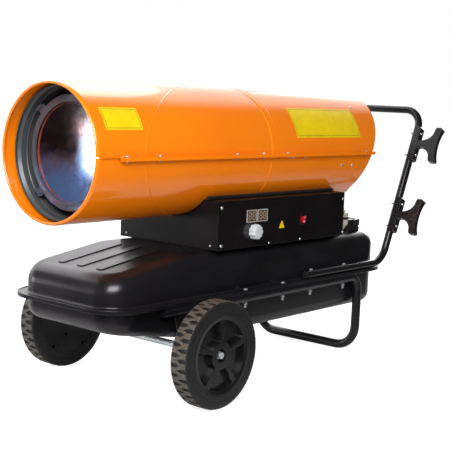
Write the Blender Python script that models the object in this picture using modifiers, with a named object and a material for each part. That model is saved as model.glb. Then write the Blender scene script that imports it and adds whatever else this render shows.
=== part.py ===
"""Direct-fired diesel space heater on wheels, modelled as separate pieces.

Metres, +Z up. The nozzle faces -X, the push handle is at +X, the control panel faces -Y.
The origin is on the floor, under the middle of the heater.
Places along the heater are counted from the plane where the heat tube reaches its full radius,
and station() turns them into world X.
"""
import math

import bpy
import bmesh
from mathutils import Matrix, Vector

for old in list(bpy.data.objects):
    bpy.data.objects.remove(old, do_unlink=True)

# Clearances and angles shared by all pieces
GAP = 0.0003
RUNNING_GAP = 0.0008
OVERRUN = 0.006
MERGE = 0.00001
HALF_TURN = math.pi
FULL_TURN = 2 * math.pi
QUARTER = math.pi / 2
SMOOTH_BELOW = math.radians(32)

# Wheels and axle
WHEEL_R = 0.125
WHEEL_WIDTH = 0.050
WHEEL_TRACK = 0.5154
RIM_R = 0.091
RIM_WALL = 0.007
WEB_THICKNESS = 0.014
HUB_R = 0.022
POCKET_INNER_R = 0.034
POCKET_OUTER_R = 0.076
POCKET_DEPTH = 0.009
POCKET_RIB = 0.012
SPOKES = 5
POCKET_STEPS = 2
WHEEL_STEPS = 20
LUG_DEPTH = 0.003
LUG_COUNT = 16
TYRE_SHOULDER = 0.008
AXLE_R = 0.008
AXLE_X = 0.278
AXLE_END = 0.004
AXLE_STEPS = 12
WASHER_R = 0.014
WASHER_T = 0.002
NUT_R = 0.011
NUT_T = 0.008
HUB_RECESS = 0.016
COLLAR_R = 0.013

# Chassis tube under the tank, with the rear leg
FRAME_TUBE_R = 0.0125
FRAME_Y = 0.1745
FRAME_RISE = 0.0942
FRAME_FRONT_X = 0.190
LEG_TAIL = 0.075
LEG_BEND_R = 0.043
FOOT_BEND_R = 0.062
BRACKET_T = 0.005
BRACKET_TOP_WIDTH = 0.110
BRACKET_EYE_R = 0.020
BRACKET_STEPS = 4

# Fuel tank
TANK_SHEET = 0.0023
TANK_FRONT_X = 0.045
TANK_TAIL = 0.2005
TANK_HALF_WIDTH = 0.162
TANK_LOWER_INSET = 0.0015
TANK_CORNER_R = 0.063
FLANGE_WIDTH = 0.0245
RIM_HEIGHT = 0.0065
TANK_UPPER_HEIGHT = 0.1036
TANK_TOP_EDGE_R = 0.042
TANK_TOP_DROP = 0.036
TANK_TOP_RAMP = 0.240
TANK_LOWER_DEPTH = 0.1005
TANK_BOTTOM_EDGE_R = 0.030
TANK_FRONT_RISE = 0.0488
TANK_BOTTOM_RAMP = 0.295
TANK_EDGE_STEPS = 2
TANK_CORNER_STEPS = 3
RIB_COUNT = 3
RIB_PITCH = 0.064
RIB_WIDTH = 0.020
RIB_LENGTH = 0.190
RIB_HEIGHT = 0.003
RIB_FRONT_X = 0.092

# Filler, cap, strainer and drain
FILLER_TAIL = 0.1225
FILLER_Y = -0.098
NECK_R = 0.026
NECK_WALL = 0.002
NECK_RISE = 0.024
NECK_REACH = 0.024
NECK_COLLAR_R = 0.034
NECK_COLLAR_T = 0.010
SEAL_T = 0.002
CAP_R = 0.035
CAP_HEIGHT = 0.020
CAP_LOBES = 8
CAP_LOBE_DEPTH = 0.005
CAP_LOBE_STEPS = 4
STRAINER_WALL = 0.001
STRAINER_DEPTH = 0.062
DRAIN_X = 0.900
DRAIN_Y = 0.060
DRAIN_R = 0.010
DRAIN_HEAD_R = 0.015
DRAIN_HEAD_T = 0.008

# Fuel filter and hoses
FILTER_TAIL = 0.0445
FILTER_Y = -0.128
FILTER_R = 0.0195
FILTER_BODY = 0.032
FILTER_DOME_R = 0.012
FILTER_DOME = 0.016
FILTER_CONE = 0.018
FITTING_R = 0.007
FITTING_HEIGHT = 0.006
HOSE_R = 0.0045
HOSE_BEND_R = 0.013
HOSE_ENTRY_DROP = 0.030
OUTLET_TAIL = 0.0485
OUTLET_Y = -0.080
OUTLET_RISE = 0.022
BEND_STEPS = 5

# Support box between the tank and the heat tube
BOX_FRONT_X = 0.382
BOX_LENGTH = 0.5355
BOX_HALF_WIDTH = 0.165
BOX_HEIGHT = 0.1192
BOX_SHEET = 0.0015
PANEL_T = 0.0015
TRIM_R = 0.0040
TRIM_INSET = 0.006

# Heat tube
TUBE_R = 0.159
TUBE_SHEET = 0.0012
TUBE_SINK = 0.049
TUBE_TAIL = 0.1405
REAR_SLANT_SHARE = 0.45
NOSE_LENGTH = 0.009
NOSE_DROP = 0.0055
NOSE_STEPS = 2
NOSE_LIP_WIDTH = 0.004
NOSE_LIP_EDGE = 0.003
NOSE_LIP_LENGTH = 0.045
NOSE_LIP_TAPER = 0.005
LIP_WIDTH = 0.0105
LIP_EDGE = 0.008
SEAM_X = 0.618
LAP = 0.014
BEAD_X = 0.588
BEAD_WIDTH = 0.008
BEAD_DEPTH = 0.0016
CREASE_X = 0.136
CREASE_SLOPE_SHARE = 1.83
ARC_STEPS = 12

# Inner liner and combustion chamber
LINER_R = 0.151
LINER_SHEET = 0.001
LINER_FRONT_X = 0.024
LINER_LENGTH = 0.560
LINER_BEAD_FIRST_X = 0.034
LINER_BEAD_LAST_X = 0.540
LINER_BEAD_WIDTH = 0.014
CHAMBER_R = 0.122
CHAMBER_SHEET = 0.0015
CHAMBER_FRONT_X = 0.060
CHAMBER_LENGTH = 0.480
CHAMBER_BACK_R = 0.052
HOT_STEPS = 20
SUPPORT_FIRST_X = 0.150
SUPPORT_LAST_X = 0.460
SUPPORT_T = 0.002
SUPPORT_ARMS = 4
SUPPORT_ARM_WIDTH = 0.030
SUPPORT_HOOP = 0.006
SUPPORT_STEPS = 4
DEFLECTOR_R = 0.107
DEFLECTOR_DISH = 0.016
DEFLECTOR_STEP = 0.005
DEFLECTOR_ROWS = 3
RING_R = 0.126
RING_SHEET = 0.0015
TAB_COUNT = 4
TAB_WIDTH = 0.022
TAB_REACH = 0.007
TAB_DEPTH = 0.012

# Burner head, nozzle and ignition
HEAD_R = 0.058
HEAD_SHEET = 0.002
HEAD_CUP = 0.006
HEAD_SLOTS = 6
HEAD_SLOT_WIDTH = 0.006
HEAD_LAND = 0.004
NOZZLE_R = 0.009
NOZZLE_LENGTH = 0.052
NOZZLE_TIP_R = 0.005
NOZZLE_HEX_R = 0.014
NOZZLE_HEX_T = 0.010
ELECTRODE_R = 0.004
ELECTRODE_LENGTH = 0.060
SENSOR_R = 0.006
SENSOR_LENGTH = 0.034
IGNITION_PITCH_R = 0.034

# Fan, motor and air pump
MOTOR_SETBACK = 0.288
MOTOR_R = 0.062
MOTOR_LENGTH = 0.150
MOTOR_END_R = 0.050
MOTOR_END = 0.014
MOTOR_RIBS = 3
MOTOR_RIB = 0.0025
SHAFT_R = 0.007
SHAFT_FRONT = 0.060
SHAFT_REAR = 0.028
FAN_R = 0.135
FAN_BLADES = 5
FAN_HUB_R = 0.028
FAN_HUB_LENGTH = 0.036
FAN_PITCH = math.radians(34)
FAN_BLADE_T = 0.002
FAN_CHORD = 0.075
FAN_CAMBER = 0.006
FAN_TO_MOTOR = 0.016
BLADE_ROOT_SHARE = 0.45
BLADE_TWIST_SHARE = 1.3
BLADE_UNTWIST_SHARE = 0.6
MOUNT_T = 0.004
MOUNT_HALF_WIDTH = 0.055
MOUNT_INSET = 0.030
MOUNT_STEPS = 4
PUMP_R = 0.052
PUMP_LENGTH = 0.036
PUMP_WALL = 0.005
PUMP_ROTOR_R = 0.034
PUMP_ROTOR_T = 0.022
PUMP_CHAMBER_R = 0.040
PUMP_VANES = 4
PUMP_VANE_T = 0.003
PUMP_VANE_REACH = 0.005
COVER_R = 0.046
COVER_T = 0.018
COVER_WALL = 0.002
COVER_LIP_T = 0.003
AIR_GAUGE_R = 0.014
AIR_GAUGE_T = 0.010
AIR_GAUGE_OFFSET = 0.018

# Rear guard
GUARD_INSET = 0.014
GUARD_WIRE_R = 0.002
GUARD_RINGS = 4
GUARD_SPOKES = 6
GUARD_HUB_R = 0.022
GUARD_STEPS = 16

# Push handle and cord hooks
HANDLE_TUBE_R = 0.011
HANDLE_FRONT_X = 0.737
HANDLE_FOOT_TAIL = 0.198
HANDLE_TOP_TAIL = 0.3835
HANDLE_TOP_Z = 0.691
HANDLE_FOOT_BEND_R = 0.070
HANDLE_TOP_BEND_R = 0.057
END_CAP_T = 0.004
HOOK_LENGTH = 0.107
HOOK_WIDTH = 0.024
HOOK_SADDLE = 0.004
HOOK_BASE = 0.017
HOOK_ARM = 0.018
HOOK_REACH = 0.079
HOOK_FLARE = 0.008
HOOK_HEAD_T = 0.023
HOOK_UPPER_Z = 0.590
HOOK_LOWER_Z = 0.383
HOOK_STEPS = 6

# Panel controls
DISPLAY_X = 0.5305
DISPLAY_DROP = 0.042
DISPLAY_WINDOW_W = 0.039
DISPLAY_WINDOW_H = 0.031
DISPLAY_PITCH = 0.043
DISPLAY_DEPTH = 0.014
DISPLAY_PROUD = 0.0015
DISPLAY_MARGIN = 0.0015
KNOB_X = 0.518
KNOB_DROP = 0.081
KNOB_R = 0.0195
KNOB_DEPTH = 0.018
KNOB_LOBES = 9
KNOB_LOBE_DEPTH = 0.002
KNOB_LOBE_STEPS = 4
KNOB_SEAT = 0.0005
SPINDLE_R = 0.003
THERMOSTAT_W = 0.034
THERMOSTAT_DEPTH = 0.022
SWITCH_X = 0.722
SWITCH_DROP = 0.061
SWITCH_W = 0.020
SWITCH_H = 0.026
SWITCH_DEPTH = 0.026
SWITCH_BEZEL = 0.003
SWITCH_LIP = 0.0025
SWITCH_WALL = 0.002
SWITCH_WELL = 0.015
ROCKER_TILT = math.radians(9)
ROCKER_PROUD = 0.004
ROCKER_PIVOT = 0.006
ROCKER_FOOT = 0.004

# Inside the support box
BOARD_X = 0.640
BOARD_Y = -0.030
BOARD_LENGTH = 0.150
BOARD_WIDTH = 0.090
BOARD_T = 0.002
POST_R = 0.004
POST_HEIGHT = 0.010
RELAY_LENGTH = 0.028
RELAY_WIDTH = 0.022
RELAY_HEIGHT = 0.018
RELAY_PITCH = 0.040
TRANSFORMER_X = 0.480
TRANSFORMER_Y = 0.070
TRANSFORMER_LENGTH = 0.090
TRANSFORMER_WIDTH = 0.066
TRANSFORMER_HEIGHT = 0.036
TERMINAL_R = 0.006
TERMINAL_REACH = 0.008
GLAND_Y = 0.095
GLAND_RISE = 0.040
GLAND_R = 0.012
GLAND_HEAD_R = 0.0155
GLAND_HEAD = 0.006
GLAND_REACH = 0.014
GLAND_BORE_R = 0.0055

# Levels, each worked out from the floor up
AXLE_Z = WHEEL_R
FRAME_Z = AXLE_Z + FRAME_RISE
LOWER_FLANGE_Z = FRAME_Z + FRAME_TUBE_R + GAP
UPPER_FLANGE_Z = LOWER_FLANGE_Z + TANK_SHEET + GAP
FLANGE_TOP_Z = UPPER_FLANGE_Z + TANK_SHEET
TANK_TOP_Z = FLANGE_TOP_Z + TANK_UPPER_HEIGHT
TANK_BOTTOM_Z = LOWER_FLANGE_Z - TANK_LOWER_DEPTH
BOX_FLOOR_Z = TANK_TOP_Z + GAP
BOX_TOP_Z = BOX_FLOOR_Z + BOX_HEIGHT
TUBE_Z = BOX_TOP_Z + TUBE_R - TUBE_SINK
HANDLE_Z = FLANGE_TOP_Z + HANDLE_TUBE_R + GAP

# Places along and across that several pieces share; the rear of the heater follows the box
WHEEL_Y = WHEEL_TRACK / 2
BOX_REAR_X = BOX_FRONT_X + BOX_LENGTH
TANK_REAR_X = BOX_REAR_X + TANK_TAIL
TUBE_LENGTH = BOX_REAR_X + TUBE_TAIL
HANDLE_FOOT_X = BOX_REAR_X + HANDLE_FOOT_TAIL
HANDLE_TOP_X = BOX_REAR_X + HANDLE_TOP_TAIL
PANEL_Y = -BOX_HALF_WIDTH
JOGGLE = TUBE_SHEET + GAP
OVERALL_LENGTH = NOSE_LENGTH + HANDLE_TOP_X + HANDLE_TUBE_R
MIDDLE_X = OVERALL_LENGTH / 2 - NOSE_LENGTH
# The inner flats of the faceted tube lie a little inside its true radius
TUBE_SEAT_R = (TUBE_R - TUBE_SHEET) * math.cos(QUARTER / ARC_STEPS) - GAP

# Finishes: colour, roughness, metallic
FINISHES = {
    "orange_enamel": ((0.93, 0.29, 0.01), 0.22, 0.0),
    "black_satin": ((0.012, 0.012, 0.014), 0.38, 0.0),
    "black_plastic": ((0.015, 0.015, 0.017), 0.5, 0.0),
    "tyre_rubber": ((0.035, 0.030, 0.027), 0.85, 0.0),
    "hose_rubber": ((0.015, 0.015, 0.016), 0.6, 0.0),
    "zinc_steel": ((0.62, 0.64, 0.66), 0.32, 1.0),
    "heat_steel": ((0.36, 0.33, 0.38), 0.30, 1.0),
    "liner_paint": ((0.085, 0.095, 0.10), 0.5, 0.4),
    "brass": ((0.72, 0.52, 0.20), 0.35, 1.0),
    "ceramic": ((0.85, 0.84, 0.80), 0.3, 0.0),
    "motor_paint": ((0.10, 0.10, 0.11), 0.45, 0.5),
    "cast_alloy": ((0.55, 0.56, 0.57), 0.45, 0.9),
    "clear_plastic": ((0.62, 0.56, 0.50), 0.25, 0.0),
    "white_plastic": ((0.86, 0.88, 0.88), 0.35, 0.0),
    "red_plastic": ((0.75, 0.02, 0.02), 0.25, 0.0),
    "grey_plastic": ((0.35, 0.33, 0.32), 0.4, 0.0),
    "board_green": ((0.03, 0.16, 0.06), 0.45, 0.0),
}
materials = {}

heater = bpy.data.collections.new("diesel_space_heater")
cutters = bpy.data.collections.new("cutters")
bpy.context.scene.collection.children.link(heater)
bpy.context.scene.collection.children.link(cutters)

AXIS_TURN = {
    "X": Matrix.Rotation(QUARTER, 4, "Y"),
    "Y": Matrix.Rotation(-QUARTER, 4, "X"),
    "Z": Matrix.Identity(4),
}


def station(x):
    """World X of a place counted from the front of the heat tube."""
    return x - MIDDLE_X


def finish(name):
    """The Principled material of one finish, made once."""
    if name not in materials:
        colour, roughness, metallic = FINISHES[name]
        material = bpy.data.materials.new(name)
        material.use_nodes = True
        shader = material.node_tree.nodes["Principled BSDF"]
        shader.inputs["Base Color"].default_value = (*colour, 1.0)
        shader.inputs["Roughness"].default_value = roughness
        shader.inputs["Metallic"].default_value = metallic
        material.diffuse_color = (*colour, 1.0)
        materials[name] = material
    return materials[name]


def place(name, data, look, location=(0, 0, 0), turn=None):
    """One named object: a piece of the heater with its finish, or a cutter where look is None."""
    body = bpy.data.objects.new(name, data)
    body.matrix_world = Matrix.Translation(Vector(location)) @ (turn or Matrix.Identity(4))
    if look:
        data.materials.append(finish(look))
        heater.objects.link(body)
    else:
        cutters.objects.link(body)
        body.hide_render = True
        body.display_type = "WIRE"
    return body


def mesh_from(bm, name, outward=True):
    """Turn a bmesh into a mesh shaded smooth except at its sharp edges."""
    if outward:
        bmesh.ops.recalc_face_normals(bm, faces=bm.faces)
    mesh = bpy.data.meshes.new(name)
    bm.to_mesh(mesh)
    bm.free()
    mesh.shade_smooth()
    mesh.set_sharp_from_angle(angle=SMOOTH_BELOW)
    return mesh


def block(name, size, centre, look=None):
    """A box with its size along X, Y and Z."""
    bm = bmesh.new()
    bmesh.ops.create_cube(bm, size=1.0)
    bmesh.ops.scale(bm, vec=Vector(size), verts=bm.verts)
    return place(name, mesh_from(bm, name), look, centre)


def rod(name, radius, length, axis, centre, look=None, sides=24):
    """A round bar along an axis."""
    bm = bmesh.new()
    bmesh.ops.create_cone(bm, cap_ends=True, segments=sides, radius1=radius, radius2=radius, depth=length)
    return place(name, mesh_from(bm, name), look, centre, AXIS_TURN[axis])


def turned(name, profile, axis, centre, look=None, steps=24, ring=True):
    """Revolve a profile of (radius, height) points, outer side first, from top to bottom."""
    mesh = bpy.data.meshes.new(name)
    points = [(radius, 0, height) for radius, height in profile]
    edges = [(i, i + 1) for i in range(len(points) - 1)]
    if ring:
        edges.append((len(points) - 1, 0))
    mesh.from_pydata(points, edges, [])
    body = place(name, mesh, look, centre, AXIS_TURN[axis])
    screw = body.modifiers.new("turn", "SCREW")
    screw.axis = "Z"
    screw.angle = FULL_TURN
    screw.steps = steps
    screw.render_steps = steps
    screw.use_merge_vertices = True
    screw.merge_threshold = MERGE
    screw.use_smooth_shade = True
    return body


def ring_profile(outer, inner, top, bottom):
    return [(outer, top), (outer, bottom), (inner, bottom), (inner, top)]


def solid_copy(body):
    """Replace an object by its evaluated mesh with welded seams, so that it can be joined or cut."""
    depsgraph = bpy.context.evaluated_depsgraph_get()
    mesh = bpy.data.meshes.new_from_object(body.evaluated_get(depsgraph), depsgraph=depsgraph)
    bm = bmesh.new()
    bm.from_mesh(mesh)
    bmesh.ops.remove_doubles(bm, verts=bm.verts, dist=MERGE)
    bmesh.ops.recalc_face_normals(bm, faces=bm.faces)
    bm.to_mesh(mesh)
    bm.free()
    mesh.shade_smooth()
    mesh.set_sharp_from_angle(angle=SMOOTH_BELOW)
    name = body.name
    solid = bpy.data.objects.new(name + "_solid", mesh)
    solid.matrix_world = body.matrix_world.copy()
    solid.hide_render = body.hide_render
    solid.display_type = body.display_type
    body.users_collection[0].objects.link(solid)
    bpy.data.objects.remove(body, do_unlink=True)
    solid.name = name
    return solid


def combine(body, tool, operation):
    step = body.modifiers.new(operation.lower(), "BOOLEAN")
    step.operation = operation
    step.object = tool
    return body


def cut(body, tool):
    return combine(body, tool, "DIFFERENCE")


def join(body, tool):
    return combine(body, tool, "UNION")


def gathered(name, bodies):
    """One mesh that holds several plain solids, used as a single tool."""
    bm = bmesh.new()
    for body in bodies:
        body.data.transform(body.matrix_world)
        bm.from_mesh(body.data)
        bpy.data.objects.remove(body, do_unlink=True)
    mesh = bpy.data.meshes.new(name)
    bm.to_mesh(mesh)
    bm.free()
    return place(name, mesh, None)


def bent_path(corners, radii, steps=BEND_STEPS):
    """Points of a tube's centre line, straight between corners and round at each of them."""
    points = [Vector(corners[0])]
    for i, radius in enumerate(radii, start=1):
        before, corner, after = (Vector(c) for c in corners[i - 1:i + 2])
        into = (corner - before).normalized()
        out = (after - corner).normalized()
        angle = into.angle(out)
        start = corner - into * radius * math.tan(angle / 2)
        side = (out - into * into.dot(out)).normalized()
        centre = start + side * radius
        for k in range(steps + 1):
            a = angle * k / steps
            points.append(centre - side * radius * math.cos(a) + into * radius * math.sin(a))
    points.append(Vector(corners[-1]))
    return points


def tube(name, points, radius, look, resolution=3):
    """A round tube or hose along a list of points."""
    curve = bpy.data.curves.new(name, "CURVE")
    curve.dimensions = "3D"
    curve.bevel_depth = radius
    curve.bevel_resolution = resolution
    curve.use_fill_caps = True
    line = curve.splines.new("POLY")
    line.points.add(len(points) - 1)
    for point, spot in zip(line.points, points):
        point.co = (*spot, 1.0)
    return place(name, curve, look)


def plate(name, outline, thickness, matrix, look=None):
    """A flat plate with its outline in its own XY plane, half its thickness on each side."""
    curve = bpy.data.curves.new(name, "CURVE")
    curve.dimensions = "2D"
    curve.fill_mode = "BOTH"
    curve.extrude = thickness / 2
    line = curve.splines.new("POLY")
    line.points.add(len(outline) - 1)
    for point, (x, y) in zip(line.points, outline):
        point.co = (x, y, 0, 1.0)
    line.use_cyclic_u = True
    body = place(name, curve, look)
    body.matrix_world = matrix
    return solid_copy(body)


def around(centre, axis, turn, shift=(0, 0, 0)):
    """A place turned about an axis through the centre, then shifted in the turned frame."""
    return Matrix.Translation(Vector(centre)) @ Matrix.Rotation(turn, 4, axis) @ Matrix.Translation(Vector(shift))


def lobed_outline(radius, lobes, depth, steps):
    """A round grip with shallow lobes."""
    points = []
    for k in range(lobes * steps):
        angle = FULL_TURN * k / (lobes * steps)
        r = radius - depth * (1 - math.cos(lobes * angle)) / 2
        points.append((r * math.cos(angle), r * math.sin(angle)))
    return points


# Heat tube: painted steel shells bolted together along the two side lips
NARROW = (NOSE_LIP_WIDTH, NOSE_LIP_EDGE)
WIDE = (LIP_WIDTH, LIP_EDGE)


def shell_section(upper, lift, lap, lip):
    """The half tube in section as (y, z) points: a lip, the arc and the other lip.

    lift raises the arc alone, as a bead does; lap moves the arc and its lips outwards.
    """
    width, edge = lip
    sign = 1 if upper else -1
    lip_z = lap if upper else -(2 * TUBE_SHEET + GAP)
    radius = TUBE_R + lift + lap
    start = math.asin(abs(lip_z) / radius)
    arc = []
    for k in range(ARC_STEPS + 1):
        angle = start + (HALF_TURN - 2 * start) * k / ARC_STEPS
        arc.append((radius * math.cos(angle), sign * radius * math.sin(angle)))
    outer = TUBE_R + width + lap
    ends = [(outer, -edge), (outer, lip_z)] if upper else [(outer - 2 * JOGGLE, lip_z)]
    return ends + arc + [(-y, z) for y, z in reversed(ends)]


def shell(name, upper, rows):
    """Loft the section through rows of (place along X, lift, lap, lip)."""
    bm = bmesh.new()
    last = None
    for along, lift, lap, lip in rows:
        verts = [bm.verts.new((along(y, z), y, z)) for y, z in shell_section(upper, lift, lap, lip)]
        if last:
            for k in range(len(verts) - 1):
                bm.faces.new((last[k], last[k + 1], verts[k + 1], verts[k]))
        last = verts
    bmesh.ops.recalc_face_normals(bm, faces=bm.faces)
    crown = max(bm.faces, key=lambda f: abs(f.calc_center_median().z))
    if crown.normal.z * crown.calc_center_median().z < 0:
        bmesh.ops.reverse_faces(bm, faces=bm.faces)
    body = place(name, mesh_from(bm, name, outward=False), "orange_enamel", (station(0), 0, TUBE_Z))
    wall = body.modifiers.new("wall", "SOLIDIFY")
    wall.thickness = TUBE_SHEET
    wall.offset = -1
    return body


def square_at(x):
    return lambda y, z: x


def rear_cut(y, z):
    """The rear edge leans back, so the top of the tube reaches further than the bottom."""
    return TUBE_LENGTH + REAR_SLANT_SHARE * z


def crease_at(shift):
    """A crease that starts near the front at the sides and runs back towards the middle."""
    return lambda y, z: CREASE_X + shift + CREASE_SLOPE_SHARE * max(TUBE_R - abs(y), 0)


def nose_rows():
    """The rolled front edge, from its opening out to the full radius, then the narrow lip."""
    rows = []
    for k in range(NOSE_STEPS + 1):
        angle = QUARTER * k / NOSE_STEPS
        lift = -NOSE_DROP * (1 - math.sin(angle))
        rows.append((square_at(-NOSE_LENGTH * math.cos(angle)), lift, 0, NARROW))
    rows.append((square_at(NOSE_LIP_LENGTH), 0, 0, NARROW))
    rows.append((square_at(NOSE_LIP_LENGTH + NOSE_LIP_TAPER), 0, 0, WIDE))
    return rows


def bead_rows(at):
    """Three rows of a bead that is pressed inwards."""
    half = BEAD_WIDTH / 2
    return [(at(-half), 0, 0, WIDE), (at(0), -BEAD_DEPTH, 0, WIDE), (at(half), 0, 0, WIDE)]


def build_shells():
    shared = nose_rows() + bead_rows(crease_at) + bead_rows(lambda shift: square_at(BEAD_X + shift))
    front = shared + [(square_at(SEAM_X - LAP), 0, 0, WIDE),
                      (square_at(SEAM_X - LAP + JOGGLE), 0, JOGGLE, WIDE),
                      (square_at(SEAM_X), 0, JOGGLE, WIDE)]
    shell("upper_shell_front", True, front)
    start = square_at(SEAM_X - LAP + 2 * JOGGLE)
    shell("upper_shell_rear", True, [(start, 0, 0, WIDE), (rear_cut, 0, 0, WIDE)])
    shell("lower_shell", False, shared + [(rear_cut, 0, 0, WIDE)])


# Hot parts, all turned about the tube's axis
def liner_profile():
    """Outer side from back to front and the inner side again, with beads that centre the liner."""
    outer = [(LINER_R, LINER_FRONT_X + LINER_LENGTH)]
    for x in (LINER_BEAD_LAST_X, LINER_BEAD_FIRST_X):
        outer += [(LINER_R, x + LINER_BEAD_WIDTH / 2), (TUBE_SEAT_R, x), (LINER_R, x - LINER_BEAD_WIDTH / 2)]
    outer.append((LINER_R, LINER_FRONT_X))
    return outer + [(radius - LINER_SHEET, x) for radius, x in reversed(outer)]


def build_hot_parts():
    centre = (station(0), 0, TUBE_Z)
    turned("heat_liner", liner_profile(), "X", centre, "liner_paint", HOT_STEPS)
    back = CHAMBER_FRONT_X + CHAMBER_LENGTH
    wall = CHAMBER_SHEET
    chamber = [(CHAMBER_R, back), (CHAMBER_R, CHAMBER_FRONT_X), (CHAMBER_R - wall, CHAMBER_FRONT_X),
               (CHAMBER_R - wall, back - wall), (CHAMBER_BACK_R, back - wall), (CHAMBER_BACK_R, back)]
    turned("combustion_chamber", chamber, "X", centre, "heat_steel", HOT_STEPS)
    build_support("chamber_support_front", SUPPORT_FIRST_X)
    build_support("chamber_support_rear", SUPPORT_LAST_X)
    build_deflector()
    build_burner(back)


def build_support(name, x):
    """A ring on the chamber with arms that reach the liner."""
    centre = (station(x), 0, TUBE_Z)
    outer = LINER_R - LINER_SHEET - GAP
    inner = CHAMBER_R + GAP
    profile = ring_profile(outer, inner, SUPPORT_T / 2, -SUPPORT_T / 2)
    ring = turned(name, profile, "X", centre, "zinc_steel", HOT_STEPS)
    step = FULL_TURN / SUPPORT_ARMS
    half = step / 2 - SUPPORT_ARM_WIDTH / (2 * outer)
    windows = []
    for k in range(SUPPORT_ARMS):
        sweep = [step * (k + 0.5) + half * (2 * i / SUPPORT_STEPS - 1) for i in range(SUPPORT_STEPS + 1)]
        rim = [((outer + OVERRUN) * math.cos(a), (outer + OVERRUN) * math.sin(a)) for a in sweep]
        floor = [((inner + SUPPORT_HOOP) * math.cos(a), (inner + SUPPORT_HOOP) * math.sin(a)) for a in sweep]
        matrix = Matrix.Translation(centre) @ AXIS_TURN["X"]
        windows.append(plate("window", rim + floor[::-1], SUPPORT_T + OVERRUN, matrix))
    cut(ring, gathered(name + "_windows", windows))


def build_deflector():
    """The dished flame plate in the mouth of the chamber, with its ring and fixing tabs."""
    sheet = RING_SHEET
    face = CHAMBER_FRONT_X - GAP
    rim_x = face + DEFLECTOR_STEP
    dish = []
    for k in range(DEFLECTOR_ROWS + 1):
        share = k / DEFLECTOR_ROWS
        dish.append((DEFLECTOR_R * share, rim_x + DEFLECTOR_DISH * (1 - share * share)))
    back = [(radius, x + sheet) for radius, x in dish[:-1]]
    rim = [(DEFLECTOR_R + sheet, rim_x + sheet), (DEFLECTOR_R + sheet, face), (RING_R, face), (RING_R, face - sheet),
           (DEFLECTOR_R, face - sheet)]
    profile = back + rim + dish[::-1]
    centre = (station(0), 0, TUBE_Z)
    plain = turned("flame_deflector", profile, "X", centre, "heat_steel", HOT_STEPS, ring=False)
    body = solid_copy(plain)
    top = RING_R + TAB_REACH
    end = face - TAB_DEPTH
    outline = [(end, top), (face, top), (face, RING_R - 2 * sheet), (face - sheet, RING_R - 2 * sheet),
               (face - sheet, top - sheet), (end, top - sheet)]
    tabs = []
    for k in range(TAB_COUNT):
        stand = around(centre, "X", FULL_TURN * (k + 0.5) / TAB_COUNT) @ Matrix.Rotation(QUARTER, 4, "X")
        tabs.append(plate("tab", outline, TAB_WIDTH, stand))
    join(body, gathered("deflector_tabs", tabs))


def build_burner(back):
    """Air diffuser, oil nozzle, ignition electrodes and flame sensor behind the chamber."""
    centre = (station(back), 0, TUBE_Z)
    seat = CHAMBER_BACK_R - GAP
    floor = -HEAD_CUP
    profile = [(HEAD_R, HEAD_SHEET + GAP), (HEAD_R, GAP), (seat, GAP), (seat, floor), (NOZZLE_HEX_R, floor),
               (NOZZLE_HEX_R, floor + HEAD_SHEET), (seat - HEAD_SHEET, floor + HEAD_SHEET),
               (seat - HEAD_SHEET, HEAD_SHEET + GAP)]
    head = turned("burner_head", profile, "X", centre, "zinc_steel", HOT_STEPS)
    first = NOZZLE_HEX_R + HEAD_LAND
    last = seat - HEAD_SHEET - HEAD_LAND
    holes = []
    for k in range(HEAD_SLOTS):
        hole = block("slot", (HEAD_SHEET + OVERRUN, HEAD_SLOT_WIDTH, last - first), (0, 0, 0))
        hole.matrix_world = around(centre, "X", FULL_TURN * k / HEAD_SLOTS, (floor, 0, (first + last) / 2))
        holes.append(hole)
    probes = (("electrode_left", ELECTRODE_R, ELECTRODE_LENGTH, "ceramic", 0.5),
              ("electrode_right", ELECTRODE_R, ELECTRODE_LENGTH, "ceramic", -0.5),
              ("flame_sensor", SENSOR_R, SENSOR_LENGTH, "black_plastic", 3.5))
    for name, radius, length, look, slots in probes:
        turn = FULL_TURN * slots / HEAD_SLOTS
        piece = rod(name, radius, length, "X", (0, 0, 0), look, 12)
        piece.matrix_world = around(centre, "X", turn, (length / 4, 0, IGNITION_PITCH_R)) @ AXIS_TURN["X"]
        hole = rod("hole", radius + GAP, HEAD_SHEET + OVERRUN, "X", (0, 0, 0), None, 12)
        hole.matrix_world = around(centre, "X", turn, (floor, 0, IGNITION_PITCH_R)) @ AXIS_TURN["X"]
        holes.append(hole)
    cut(head, gathered("burner_holes", holes))
    tip = floor - HEAD_SHEET
    hex_r = NOZZLE_HEX_R - GAP
    top = floor + NOZZLE_HEX_T
    nozzle = [(0, NOZZLE_LENGTH), (NOZZLE_R, NOZZLE_LENGTH), (NOZZLE_R, top), (hex_r, top), (hex_r, floor),
              (NOZZLE_TIP_R, tip), (0, tip)]
    turned("oil_nozzle", nozzle, "X", centre, "brass", 16, ring=False)


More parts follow.
